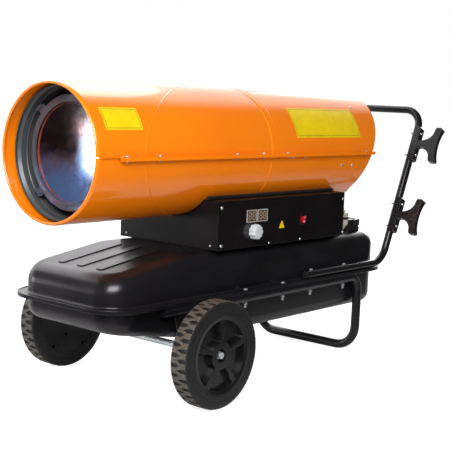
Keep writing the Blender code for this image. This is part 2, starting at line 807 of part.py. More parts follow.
# Fan, motor and air pump, all on the axis of the tube
def build_motor():
    front = TUBE_LENGTH - MOTOR_SETBACK
    bore = SHAFT_R + RUNNING_GAP
    low = MOTOR_R - MOTOR_RIB
    pitch = (MOTOR_LENGTH - 2 * MOTOR_END) / MOTOR_RIBS
    profile = [(MOTOR_END_R, MOTOR_LENGTH)]
    for k in range(MOTOR_RIBS):
        x = MOTOR_LENGTH - MOTOR_END - pitch * k
        profile += [(MOTOR_R, x), (MOTOR_R, x - pitch / 2), (low, x - pitch / 2), (low, x - pitch)]
    profile += [(MOTOR_END_R, 0), (bore, 0), (bore, MOTOR_LENGTH)]
    turned("fan_motor", profile, "X", (station(front), 0, TUBE_Z), "motor_paint", 16)
    length = MOTOR_LENGTH + SHAFT_FRONT + SHAFT_REAR
    middle = (station(front - SHAFT_FRONT + length / 2), 0, TUBE_Z)
    rod("motor_shaft", SHAFT_R, length, "X", middle, "zinc_steel", 16)
    build_fan(front - FAN_TO_MOTOR - FAN_HUB_LENGTH / 2)
    build_mount("motor_mount_front", front + MOUNT_INSET)
    build_mount("motor_mount_rear", front + MOTOR_LENGTH - MOUNT_INSET)
    build_pump(front + MOTOR_LENGTH + GAP)


def build_fan(x):
    """Pitched and twisted sheet blades on a turned hub."""
    centre = (station(x), 0, TUBE_Z)
    half = FAN_HUB_LENGTH / 2
    hub = ring_profile(FAN_HUB_R, SHAFT_R + GAP, half, -half)
    body = solid_copy(turned("axial_fan", hub, "X", centre, "cast_alloy", 16))
    inner = FAN_HUB_R - FAN_BLADE_T
    blades = []
    for k in range(FAN_BLADES):
        bm = bmesh.new()
        bmesh.ops.create_grid(bm, x_segments=3, y_segments=3, size=0.5)
        for vert in bm.verts:
            u, share = vert.co.x, vert.co.y + 0.5
            radius = inner + (FAN_R - inner) * share
            twist = FAN_PITCH * (BLADE_TWIST_SHARE - BLADE_UNTWIST_SHARE * share)
            chord = FAN_CHORD * (BLADE_ROOT_SHARE + (1 - BLADE_ROOT_SHARE) * share) * u
            bow = FAN_CAMBER * (1 - 4 * u * u)
            angle = (chord * math.cos(twist) - bow * math.sin(twist)) / max(radius, FAN_HUB_R)
            along = chord * math.sin(twist) + bow * math.cos(twist)
            vert.co = (along, radius * math.sin(angle), radius * math.cos(angle))
        bm.normal_update()
        bmesh.ops.solidify(bm, geom=bm.faces[:], thickness=FAN_BLADE_T)
        blade = place("blade", mesh_from(bm, "blade"), None)
        blade.matrix_world = around(centre, "X", FULL_TURN * k / FAN_BLADES)
        blades.append(blade)
    join(body, gathered("fan_blades", blades))


def build_mount(name, x):
    """A saddle plate that carries the motor in the lower shell."""
    outer = TUBE_SEAT_R
    spread = math.asin(MOUNT_HALF_WIDTH / MOTOR_R)
    inner = (MOTOR_R + GAP) / math.cos(spread / MOUNT_STEPS)
    foot = math.asin(MOUNT_HALF_WIDTH / outer)
    outline = []
    for radius, half in ((inner, spread), (outer, -foot)):
        for i in range(MOUNT_STEPS + 1):
            angle = half * (1 - 2 * i / MOUNT_STEPS)
            outline.append((radius * math.sin(angle), -radius * math.cos(angle)))
    # the plate's X runs along +Y and its Y runs along +Z
    stand = Matrix(((0, 0, 1), (1, 0, 0), (0, 1, 0))).to_4x4()
    plate(name, outline, MOUNT_T, Matrix.Translation((station(x), 0, TUBE_Z)) @ stand, "zinc_steel")


def build_pump(start):
    """Rotary vane pump on the back of the motor, closed by its filter cover."""
    centre = (station(start), 0, TUBE_Z)
    bore = SHAFT_R + RUNNING_GAP
    housing = [(PUMP_R, PUMP_LENGTH), (PUMP_R, 0), (bore, 0), (bore, PUMP_WALL), (PUMP_CHAMBER_R, PUMP_WALL),
               (PUMP_CHAMBER_R, PUMP_LENGTH)]
    turned("air_pump_housing", housing, "X", centre, "cast_alloy", 16)
    half = PUMP_ROTOR_T / 2
    middle = (station(start + PUMP_WALL + RUNNING_GAP + half), 0, TUBE_Z)
    core = ring_profile(PUMP_ROTOR_R, SHAFT_R + GAP, half, -half)
    rotor = solid_copy(turned("air_pump_rotor", core, "X", middle, "cast_alloy", 20))
    vanes = []
    for k in range(PUMP_VANES):
        vane = block("vane", (PUMP_ROTOR_T - 2 * GAP, PUMP_VANE_T, 2 * PUMP_VANE_REACH), (0, 0, 0))
        vane.matrix_world = around(middle, "X", FULL_TURN * k / PUMP_VANES, (0, 0, PUMP_ROTOR_R))
        vanes.append(vane)
    join(rotor, gathered("pump_vanes", vanes))
    x = start + PUMP_LENGTH + GAP
    wall = COVER_WALL
    cup = COVER_R - wall
    cover = [(0, COVER_T), (cup, COVER_T), (COVER_R, COVER_T - wall), (COVER_R, COVER_LIP_T), (PUMP_R, COVER_LIP_T),
             (PUMP_R, 0), (cup, 0), (cup, COVER_T - wall), (0, COVER_T - wall)]
    body = turned("air_filter_cover", cover, "X", (station(x), 0, TUBE_Z), "black_plastic", 16, ring=False)
    spot = (station(x + COVER_T + (AIR_GAUGE_T - wall) / 2), AIR_GAUGE_OFFSET, TUBE_Z + AIR_GAUGE_OFFSET)
    join(body, rod("air_gauge", AIR_GAUGE_R, AIR_GAUGE_T + wall, "X", spot, None, 12))


def build_guard():
    """Wire guard in the slanted rear end of the tube: rings crossed by spokes."""
    rim = TUBE_SEAT_R - GUARD_WIRE_R
    hub = rod("rear_guard", GUARD_HUB_R, 2 * GUARD_WIRE_R, "Z", (0, 0, 0), "zinc_steel", GUARD_STEPS)
    tools = []
    for k in range(GUARD_RINGS):
        radius = GUARD_HUB_R + (rim - GUARD_HUB_R) * (k + 1) / GUARD_RINGS
        profile = ring_profile(radius + GUARD_WIRE_R, radius - GUARD_WIRE_R, GUARD_WIRE_R, -GUARD_WIRE_R)
        tools.append(solid_copy(turned(f"guard_ring_{k}", profile, "Z", (0, 0, 0), None, GUARD_STEPS)))
    spokes = []
    wire = 1.5 * GUARD_WIRE_R
    length = rim - GUARD_HUB_R + GUARD_WIRE_R
    for k in range(GUARD_SPOKES):
        spoke = block("spoke", (length, wire, wire), (0, 0, 0))
        turn = FULL_TURN * (k + 0.5) / GUARD_SPOKES
        spoke.matrix_world = around((0, 0, 0), "Z", turn, (GUARD_HUB_R - GUARD_WIRE_R + length / 2, 0, 0))
        spokes.append(spoke)
    tools.append(gathered("guard_spokes", spokes))
    lean = Matrix(((1, 0, REAR_SLANT_SHARE), (0, 1, 0), (0, 0, 1))).to_4x4()
    lay = Matrix.Translation((station(TUBE_LENGTH - GUARD_INSET), 0, TUBE_Z)) @ lean @ AXIS_TURN["X"]
    hub.data.transform(lay)
    for tool in tools:
        tool.data.transform(lay)
        join(hub, tool)


# Fuel tank: two pressed pans welded at their flanges
def tank_outline(inset, level):
    """The tank's outline in plan, drawn in by an inset, at a level that may change along X."""
    x0 = TANK_FRONT_X + inset
    x1 = TANK_REAR_X - inset
    half = TANK_HALF_WIDTH - inset
    radius = max(TANK_CORNER_R - inset, TANK_SHEET)
    corners = [(x1 - radius, half - radius), (x0 + radius, half - radius), (x0 + radius, radius - half),
               (x1 - radius, radius - half)]
    points = []
    for quarter, (cx, cy) in enumerate(corners):
        if quarter in (1, 3):
            side = half if quarter == 1 else -half
            for ramp in sorted((TANK_TOP_RAMP, TANK_BOTTOM_RAMP), reverse=quarter == 1):
                points.append((TANK_FRONT_X + ramp, side))
        for k in range(TANK_CORNER_STEPS + 1):
            angle = QUARTER * (quarter + k / TANK_CORNER_STEPS)
            points.append((cx + radius * math.cos(angle), cy + radius * math.sin(angle)))
    return [(station(x), y, level(x)) for x, y in points]


def flat_level(z):
    return lambda x: z


def top_level(below):
    """The tank's top, which falls away over the ramp at the front."""
    def level(x):
        return TANK_TOP_Z - below - TANK_TOP_DROP * max(0, 1 - (x - TANK_FRONT_X) / TANK_TOP_RAMP)
    return level


def bottom_level(above):
    """The tank's floor, which rises over the ramp at the front."""
    def level(x):
        return TANK_BOTTOM_Z + above + TANK_FRONT_RISE * max(0, 1 - (x - TANK_FRONT_X) / TANK_BOTTOM_RAMP)
    return level


def pan(name, loops, upwards):
    """A pressed pan lofted through outlines, closed by the last and given its sheet."""
    bm = bmesh.new()
    last = None
    for loop in loops:
        verts = [bm.verts.new(p) for p in loop]
        if last:
            for k in range(len(verts)):
                j = (k + 1) % len(verts)
                bm.faces.new((last[k], last[j], verts[j], verts[k]))
        last = verts
    bm.faces.new(last)
    for ramp in (TANK_TOP_RAMP, TANK_BOTTOM_RAMP):
        bend = station(TANK_FRONT_X + ramp)
        bmesh.ops.connect_verts(bm, verts=[v for v in last if abs(v.co.x - bend) < MERGE])
    bmesh.ops.recalc_face_normals(bm, faces=bm.faces)
    floor = max(bm.faces, key=lambda f: f.calc_area())
    if (floor.normal.z > 0) != upwards:
        bmesh.ops.reverse_faces(bm, faces=bm.faces)
    body = place(name, mesh_from(bm, name, outward=False), "black_satin")
    wall = body.modifiers.new("sheet", "SOLIDIFY")
    wall.thickness = TANK_SHEET
    wall.offset = -1
    return body


def build_tank():
    turns = [QUARTER * k / TANK_EDGE_STEPS for k in range(TANK_EDGE_STEPS + 1)]
    loops = [tank_outline(TANK_SHEET + GAP - FLANGE_WIDTH, flat_level(FLANGE_TOP_Z)),
             tank_outline(0, flat_level(FLANGE_TOP_Z))]
    edge = TANK_TOP_EDGE_R
    loops += [tank_outline(edge * (1 - math.cos(a)), top_level(edge * (1 - math.sin(a)))) for a in turns]
    upper = pan("tank_upper", loops, True)
    loops = [tank_outline(-FLANGE_WIDTH, flat_level(LOWER_FLANGE_Z + RIM_HEIGHT)),
             tank_outline(-FLANGE_WIDTH, flat_level(LOWER_FLANGE_Z)),
             tank_outline(TANK_LOWER_INSET, flat_level(LOWER_FLANGE_Z))]
    edge = TANK_BOTTOM_EDGE_R
    loops += [tank_outline(TANK_LOWER_INSET + edge * (1 - math.cos(a)), bottom_level(edge * (1 - math.sin(a))))
              for a in turns]
    lower = pan("tank_lower", loops, False)
    build_ribs(upper)
    filler = (station(BOX_REAR_X + FILLER_TAIL), FILLER_Y, TANK_TOP_Z)
    cut(upper, rod("filler_hole", NECK_R + GAP, 2 * OVERRUN, "Z", filler))
    plug = (station(DRAIN_X), DRAIN_Y, TANK_BOTTOM_Z)
    cut(lower, rod("drain_hole", DRAIN_R + GAP, 2 * OVERRUN, "Z", plug, None, 12))
    drain = [(0, 2 * TANK_SHEET), (DRAIN_R, 2 * TANK_SHEET), (DRAIN_R, -GAP), (DRAIN_HEAD_R, -GAP),
             (DRAIN_HEAD_R, -DRAIN_HEAD_T), (0, -DRAIN_HEAD_T)]
    turned("drain_plug", drain, "Z", plug, "zinc_steel", 12, ring=False)
    build_filler(filler)


def build_ribs(upper):
    """Stiffening ribs pressed into the sloping front of the tank's top."""
    slope = math.atan2(TANK_TOP_DROP, TANK_TOP_RAMP)
    x = RIB_FRONT_X + RIB_LENGTH / 2
    ribs = []
    for k in range(RIB_COUNT):
        y = RIB_PITCH * (k - (RIB_COUNT - 1) / 2)
        rib = block("rib", (RIB_LENGTH, RIB_WIDTH, RIB_HEIGHT + TANK_SHEET / 2), (0, 0, 0))
        rib.matrix_world = around((station(x), y, top_level(0)(x)), "Y", -slope,
                                  (0, 0, (RIB_HEIGHT - TANK_SHEET / 2) / 2))
        for vert in rib.data.vertices:
            if vert.co.z > 0:
                vert.co.x *= 1 - 2 * RIB_HEIGHT / RIB_LENGTH
                vert.co.y *= 1 - 2 * RIB_HEIGHT / RIB_WIDTH
        ribs.append(rib)
    join(upper, gathered("tank_ribs", ribs))


def build_filler(centre):
    """Filler neck with its collar, the seal, the lobed cap and the strainer that hangs in the neck."""
    collar = NECK_COLLAR_T + GAP
    inner = NECK_R - NECK_WALL
    neck = [(NECK_R, NECK_RISE), (NECK_R, collar), (NECK_COLLAR_R, collar), (NECK_COLLAR_R, GAP), (NECK_R, GAP),
            (NECK_R, -NECK_REACH), (inner, -NECK_REACH), (inner, NECK_RISE)]
    turned("filler_neck", neck, "Z", centre, "black_plastic", 16)
    seal_low = collar + GAP
    seal_top = seal_low + SEAL_T
    seal = ring_profile(NECK_COLLAR_R - SEAL_T, NECK_R + RUNNING_GAP, seal_top, seal_low)
    turned("cap_seal", seal, "Z", centre, "hose_rubber", 16)
    base = centre[2] + seal_top + GAP
    grip = plate("fuel_cap", lobed_outline(CAP_R, CAP_LOBES, CAP_LOBE_DEPTH, CAP_LOBE_STEPS), CAP_HEIGHT,
                 Matrix.Translation((centre[0], centre[1], base + CAP_HEIGHT / 2)), "black_plastic")
    lip = NECK_RISE + GAP
    room = centre[2] + lip + STRAINER_WALL + RUNNING_GAP - base
    cut(grip, rod("cap_bore", NECK_R + RUNNING_GAP, 2 * room, "Z", (centre[0], centre[1], base)))
    rim = NECK_R - NECK_WALL / 2
    body = inner - GAP
    wall = STRAINER_WALL
    basket = [(0, wall - STRAINER_DEPTH), (body - wall, wall - STRAINER_DEPTH), (body - wall, lip + wall),
              (rim, lip + wall), (rim, lip), (body, lip), (body, -STRAINER_DEPTH), (0, -STRAINER_DEPTH)]
    turned("fuel_strainer", basket, "Z", centre, "clear_plastic", 16, ring=False)


def build_fuel_line():
    """Inline fuel filter on the tank, a hose from its top into the box, and one from the tank."""
    x = station(BOX_REAR_X + FILTER_TAIL)
    base = TANK_TOP_Z + GAP
    cone = base + FITTING_HEIGHT
    low = cone + FILTER_CONE
    top = low + FILTER_BODY
    dome = top + FILTER_DOME
    shoulder = FILTER_R - FILTER_DOME_R
    profile = [(0, dome), (FILTER_DOME_R, dome), (FILTER_DOME_R, top + shoulder / 2), (FILTER_R, top),
               (FILTER_R, low), (FITTING_R, cone), (FITTING_R, base), (0, base)]
    turned("fuel_filter", profile, "Z", (x, FILTER_Y, 0), "clear_plastic", 20, ring=False)
    wall = station(BOX_REAR_X) + GAP
    entry = BOX_TOP_Z - HOSE_ENTRY_DROP
    path = bent_path([(x, FILTER_Y, dome + GAP), (x, FILTER_Y, entry), (wall, FILTER_Y, entry)], [HOSE_BEND_R])
    tube("suction_hose", path, HOSE_R, "hose_rubber", 2)
    outlet = station(BOX_REAR_X + OUTLET_TAIL)
    level = base + OUTLET_RISE
    path = bent_path([(outlet, OUTLET_Y, base), (outlet, OUTLET_Y, level), (wall, OUTLET_Y, level)], [HOSE_BEND_R])
    tube("feed_hose", path, HOSE_R, "hose_rubber", 2)


# Running gear
def build_tyre(name, y):
    """A tyre with two staggered rows of blocks: alternate cells of the tread are sunk."""
    half = WHEEL_WIDTH / 2
    low = WHEEL_R - TYRE_SHOULDER
    flat = half - TYRE_SHOULDER
    section = [(RIM_R, half), (low, half), (WHEEL_R, flat), (WHEEL_R, 0), (WHEEL_R, -flat), (low, -half),
               (RIM_R, -half)]
    steps = 2 * LUG_COUNT
    body = solid_copy(turned(name, section, "Y", (station(AXLE_X), y, AXLE_Z), "tyre_rubber", steps))
    bm = bmesh.new()
    bm.from_mesh(body.data)
    sunk = []
    for face in bm.faces:
        middle = face.calc_center_median()
        if math.hypot(middle.x, middle.y) > WHEEL_R - TYRE_SHOULDER / 4 and abs(middle.z) < flat:
            cell = math.floor(math.atan2(middle.y, middle.x) / FULL_TURN * steps)
            if (cell + (middle.z > 0)) % 2:
                sunk.append(face)
    bmesh.ops.inset_individual(bm, faces=sunk, thickness=LUG_DEPTH / 3, depth=-LUG_DEPTH)
    bm.to_mesh(body.data)
    bm.free()


def build_wheel(side, name):
    y = WHEEL_Y * side
    centre = (station(AXLE_X), y, AXLE_Z)
    build_tyre(f"tyre_{name}", y)
    half = WHEEL_WIDTH / 2
    outer = RIM_R * math.cos(HALF_TURN / (2 * LUG_COUNT)) - GAP
    wall = outer - RIM_WALL
    web = WEB_THICKNESS / 2
    bore = AXLE_R + RUNNING_GAP
    boss = half - HUB_RECESS
    profile = [(outer, half), (outer, -half), (wall, -half), (wall, -web), (HUB_R, -web), (HUB_R, -boss),
               (bore, -boss), (bore, boss), (HUB_R, boss), (HUB_R, web), (wall, web), (wall, half)]
    hub = turned(f"wheel_hub_{name}", profile, "Y", centre, "black_plastic", WHEEL_STEPS)
    step = FULL_TURN / SPOKES
    depth = POCKET_DEPTH + OVERRUN
    pockets = []
    for k in range(SPOKES):
        outline = []
        for radius, direction in ((POCKET_OUTER_R, 1), (POCKET_INNER_R, -1)):
            spread = step / 2 - POCKET_RIB / (2 * radius)
            for i in range(POCKET_STEPS + 1):
                angle = QUARTER + step * (k + 0.5) + direction * spread * (2 * i / POCKET_STEPS - 1)
                outline.append((radius * math.cos(angle), radius * math.sin(angle)))
        matrix = Matrix.Translation((centre[0], y + side * (web - POCKET_DEPTH + depth / 2), AXLE_Z))
        pockets.append(plate("pocket", outline, depth, matrix @ Matrix.Rotation(QUARTER, 4, "X")))
    cut(hub, gathered(f"pockets_{name}", pockets))
    bore = AXLE_R + GAP
    nut = [(NUT_R, NUT_T), (NUT_R, WASHER_T), (WASHER_R, WASHER_T), (WASHER_R, 0), (bore, 0), (bore, NUT_T)]
    if side < 0:
        nut = [(radius, -height) for radius, height in reversed(nut)]
    turned(f"axle_nut_{name}", nut, "Y", (centre[0], y + side * (boss + RUNNING_GAP), AXLE_Z), "zinc_steel",
           AXLE_STEPS)


def build_axle():
    """Axle rod with collars that keep the wheels off the brackets, and the two brackets."""
    boss = WHEEL_WIDTH / 2 - HUB_RECESS
    end = WHEEL_Y + boss + RUNNING_GAP + NUT_T + AXLE_END
    collar = WHEEL_Y - boss - RUNNING_GAP
    stop = FRAME_Y + BRACKET_T / 2 + RUNNING_GAP
    half = [(0, end), (AXLE_R, end), (AXLE_R, collar), (COLLAR_R, collar), (COLLAR_R, stop), (AXLE_R, stop)]
    profile = half + [(radius, -height) for radius, height in reversed(half)]
    turned("wheel_axle", profile, "Y", (station(AXLE_X), 0, AXLE_Z), "zinc_steel", AXLE_STEPS, ring=False)
    outline = [(-BRACKET_TOP_WIDTH / 2, FRAME_RISE)]
    for k in range(BRACKET_STEPS + 1):
        angle = HALF_TURN * (7 / 6 + 2 / 3 * k / BRACKET_STEPS)
        outline.append((BRACKET_EYE_R * math.cos(angle), BRACKET_EYE_R * math.sin(angle)))
    outline.append((BRACKET_TOP_WIDTH / 2, FRAME_RISE))
    for side, name in ((-1, "right"), (1, "left")):
        spot = (station(AXLE_X), FRAME_Y * side, AXLE_Z)
        matrix = Matrix.Translation(spot) @ Matrix.Rotation(QUARTER, 4, "X")
        body = plate(f"axle_bracket_{name}", outline, BRACKET_T, matrix, "black_satin")
        cut(body, rod("axle_hole", AXLE_R + GAP, BRACKET_T + OVERRUN, "Y", spot, None, AXLE_STEPS))
        seat = (spot[0], spot[1], FRAME_Z)
        cut(body, rod("rail_seat", FRAME_TUBE_R + GAP, BRACKET_TOP_WIDTH + OVERRUN, "X", seat))


def build_frame():
    y, z, foot = FRAME_Y, FRAME_Z, FRAME_TUBE_R
    front, leg = station(FRAME_FRONT_X), station(BOX_REAR_X + LEG_TAIL)
    corners = [(front, -y, z), (leg, -y, z), (leg, -y, foot), (leg, y, foot), (leg, y, z), (front, y, z)]
    bends = [LEG_BEND_R, FOOT_BEND_R, FOOT_BEND_R, LEG_BEND_R]
    tube("chassis_frame", bent_path(corners, bends), FRAME_TUBE_R, "black_satin")


def build_handle():
    y, z, top = FRAME_Y, HANDLE_Z, HANDLE_TOP_Z
    front, foot, back = station(HANDLE_FRONT_X), station(HANDLE_FOOT_X), station(HANDLE_TOP_X)
    corners = [(front, -y, z), (foot, -y, z), (back, -y, top), (back, y, top), (foot, y, z), (front, y, z)]
    bends = [HANDLE_FOOT_BEND_R, HANDLE_TOP_BEND_R, HANDLE_TOP_BEND_R, HANDLE_FOOT_BEND_R]
    tube("push_handle", bent_path(corners, bends), HANDLE_TUBE_R, "black_satin")
    round_r = HANDLE_TUBE_R
    cap = [(0, -GAP), (round_r, -GAP), (round_r, -END_CAP_T / 2), (round_r - END_CAP_T / 2, -END_CAP_T),
           (0, -END_CAP_T)]
    for side, name in ((-1, "right"), (1, "left")):
        turned(f"handle_end_cap_{name}", cap, "X", (front, y * side, z), "black_plastic", 16, ring=False)
    lean = math.atan2(back - foot, top - z)
    for name, level in (("cord_hook_upper", HOOK_UPPER_Z), ("cord_hook_lower", HOOK_LOWER_Z)):
        share = (level - z) / (top - z)
        build_hook(name, Vector((foot + (back - foot) * share, -y, level)), lean)


def hook_outline():
    """Base, arm and dished T-shaped head, as (outward, along the tube) points."""
    half = HOOK_LENGTH / 2
    arm = HOOK_ARM / 2
    tip = HOOK_REACH + HOOK_FLARE
    neck = HOOK_BASE + HOOK_SADDLE
    reach = tip - HOOK_HEAD_T - neck
    rise = half - HOOK_FLARE - arm
    upper = [(-HOOK_SADDLE, half), (HOOK_BASE - HOOK_SADDLE, half), (HOOK_BASE, half - HOOK_SADDLE),
             (HOOK_BASE, arm + HOOK_SADDLE)]
    for k in range(HOOK_STEPS + 1):
        angle = QUARTER * k / HOOK_STEPS
        upper.append((neck + reach * math.sin(angle), arm + rise * (1 - math.cos(angle))))
    upper += [(neck + reach + HOOK_FLARE / 2, half), (tip - HOOK_SADDLE, half), (tip, half - HOOK_SADDLE)]
    for k in range(1, HOOK_STEPS // 2):
        share = 1 - 2 * k / HOOK_STEPS
        upper.append((HOOK_REACH + HOOK_FLARE * share * share, half * share))
    lower = [(out, -along) for out, along in reversed(upper)]
    return upper + [(HOOK_REACH, 0)] + lower


def build_hook(name, centre, lean):
    """A cord hook clamped to the near upright of the handle."""
    along = Vector((math.sin(lean), 0, math.cos(lean)))
    outward = Vector((0, -1, 0))
    frame = Matrix((outward, along, outward.cross(along))).transposed().to_4x4()
    body = plate(name, hook_outline(), HOOK_WIDTH, Matrix.Translation(centre) @ frame, "black_plastic")
    groove = rod("hook_groove", HANDLE_TUBE_R + GAP, HOOK_LENGTH + 2 * OVERRUN, "Z", centre)
    groove.matrix_world = Matrix.Translation(centre) @ Matrix.Rotation(lean, 4, "Y")
    cut(body, groove)


# Support box and its controls
def build_box():
    mid_x = station(BOX_FRONT_X + BOX_LENGTH / 2)
    mid_z = BOX_FLOOR_Z + BOX_HEIGHT / 2
    width = 2 * (BOX_HALF_WIDTH - PANEL_T - GAP)
    body = block("support_box", (BOX_LENGTH, width, BOX_HEIGHT), (mid_x, 0, mid_z), "black_satin")
    room = (BOX_LENGTH - 2 * BOX_SHEET, width + OVERRUN, BOX_HEIGHT - 2 * BOX_SHEET)
    cut(body, block("box_inside", room, (mid_x, 0, mid_z)))
    sides = 4 * ARC_STEPS
    seat = (TUBE_R + GAP) / math.cos(HALF_TURN / sides)
    cut(body, rod("tube_seat", seat, BOX_LENGTH + OVERRUN, "X", (mid_x, 0, TUBE_Z), None, sides))
    gland = (station(BOX_REAR_X), GLAND_Y, BOX_FLOOR_Z + GLAND_RISE)
    cut(body, rod("gland_hole", GLAND_R + GAP, 2 * OVERRUN, "X", gland, None, 12))
    for side, name in ((-1, "control_panel"), (1, "far_side_panel")):
        y = side * (BOX_HALF_WIDTH - PANEL_T / 2)
        cover = block(name, (BOX_LENGTH, PANEL_T, BOX_HEIGHT), (mid_x, y, mid_z), "black_satin")
        if side < 0:
            cut_controls(cover)
    reach = TUBE_R + GAP + TRIM_R
    level = BOX_TOP_Z + GAP + TRIM_R
    y = math.sqrt(reach * reach - (TUBE_Z - level) * (TUBE_Z - level))
    first = station(BOX_FRONT_X + TRIM_INSET)
    last = station(BOX_REAR_X - TRIM_INSET)
    for side, name in ((-1, "edge_trim_right"), (1, "edge_trim_left")):
        tube(name, [(first, y * side, level), (last, y * side, level)], TRIM_R, "hose_rubber", 2)


def panel_point(x, drop, depth=0):
    """A point on the control panel, drop below the top of the box and depth behind its face."""
    return (station(x), PANEL_Y + depth, BOX_TOP_Z - drop)


def cut_controls(cover):
    """Openings for the display, the thermostat's spindle and the switch."""
    for k in (-1, 1):
        spot = panel_point(DISPLAY_X + k * DISPLAY_PITCH / 2, DISPLAY_DROP)
        cut(cover, block("window_cut", (DISPLAY_WINDOW_W, 2 * OVERRUN, DISPLAY_WINDOW_H), spot))
    cut(cover, rod("spindle_cut", SPINDLE_R + GAP, 2 * OVERRUN, "Y", panel_point(KNOB_X, KNOB_DROP), None, 12))
    cut(cover, block("switch_cut", (SWITCH_W, 2 * OVERRUN, SWITCH_H), panel_point(SWITCH_X, SWITCH_DROP)))


def build_controls():
    inner = PANEL_T + GAP
    build_display(inner)
    build_thermostat(inner)
    build_switch()


def build_display(inner):
    """Display module behind the panel, with two windows that stand slightly proud."""
    width = DISPLAY_PITCH + DISPLAY_WINDOW_W + 2 * DISPLAY_MARGIN
    height = DISPLAY_WINDOW_H + 2 * DISPLAY_MARGIN
    middle = panel_point(DISPLAY_X, DISPLAY_DROP, inner + DISPLAY_DEPTH / 2)
    body = block("display_module", (width, DISPLAY_DEPTH, height), middle, "grey_plastic")
    depth = inner + DISPLAY_PROUD + DISPLAY_MARGIN
    windows = []
    for k in (-1, 1):
        spot = panel_point(DISPLAY_X + k * DISPLAY_PITCH / 2, DISPLAY_DROP, depth / 2 - DISPLAY_PROUD)
        windows.append(block("window", (DISPLAY_WINDOW_W - 2 * GAP, depth, DISPLAY_WINDOW_H - 2 * GAP), spot))
    join(body, gathered("display_windows", windows))


def build_thermostat(inner):
    """Thermostat body behind the panel; its spindle carries the lobed knob."""
    middle = panel_point(KNOB_X, KNOB_DROP, inner + THERMOSTAT_DEPTH / 2)
    body = block("thermostat_body", (THERMOSTAT_W, THERMOSTAT_DEPTH, THERMOSTAT_W), middle, "black_plastic")
    bore_end = KNOB_SEAT + KNOB_DEPTH / 2
    length = bore_end - RUNNING_GAP + inner + THERMOSTAT_DEPTH / 2
    spot = panel_point(KNOB_X, KNOB_DROP, length / 2 - bore_end + RUNNING_GAP)
    join(body, rod("spindle", SPINDLE_R, length, "Y", spot, None, 12))
    matrix = Matrix.Translation(panel_point(KNOB_X, KNOB_DROP, -bore_end)) @ Matrix.Rotation(QUARTER, 4, "X")
    outline = lobed_outline(KNOB_R, KNOB_LOBES, KNOB_LOBE_DEPTH, KNOB_LOBE_STEPS)
    knob = plate("thermostat_knob", outline, KNOB_DEPTH, matrix, "white_plastic")
    seat = panel_point(KNOB_X, KNOB_DROP, -KNOB_SEAT)
    cut(knob, rod("knob_bore", SPINDLE_R + GAP, KNOB_DEPTH, "Y", seat, None, 12))


def build_switch():
    """Switch housing with its bezel, and a V-faced rocker whose lower end is pressed in at rest."""
    front = SWITCH_BEZEL
    middle = panel_point(SWITCH_X, SWITCH_DROP, SWITCH_DEPTH / 2 - front)
    housing = block("switch_housing", (SWITCH_W - 2 * GAP, SWITCH_DEPTH, SWITCH_H - 2 * GAP), middle, "black_plastic")
    spot = panel_point(SWITCH_X, SWITCH_DROP, -(front + GAP) / 2)
    join(housing, block("switch_frame", (SWITCH_W + 2 * SWITCH_LIP, front - GAP, SWITCH_H + 2 * SWITCH_LIP), spot))
    well_w = SWITCH_W - 2 * SWITCH_WALL
    well_h = SWITCH_H - 2 * SWITCH_WALL
    mouth = panel_point(SWITCH_X, SWITCH_DROP, -front)
    cut(housing, block("switch_well", (well_w, 2 * SWITCH_WELL, well_h), mouth))
    half = well_h / 2 - 2 * RUNNING_GAP
    face = ROCKER_PIVOT + ROCKER_PROUD
    ends = face + half * math.tan(ROCKER_TILT)
    shoulder = half - ROCKER_FOOT
    outline = [(-half, ends), (0, face), (half, ends), (shoulder, 0), (ROCKER_FOOT, -ROCKER_FOOT),
               (-ROCKER_FOOT, -ROCKER_FOOT), (-shoulder, 0)]
    # the plate's X runs up the panel and its Y runs out of the panel
    stand = Matrix(((0, 0, 1), (0, -1, 0), (1, 0, 0))).to_4x4()
    pivot = panel_point(SWITCH_X, SWITCH_DROP, ROCKER_PIVOT - front)
    matrix = Matrix.Translation(pivot) @ Matrix.Rotation(ROCKER_TILT, 4, "X") @ stand
    plate("power_rocker", outline, well_w - 2 * RUNNING_GAP, matrix, "red_plastic")


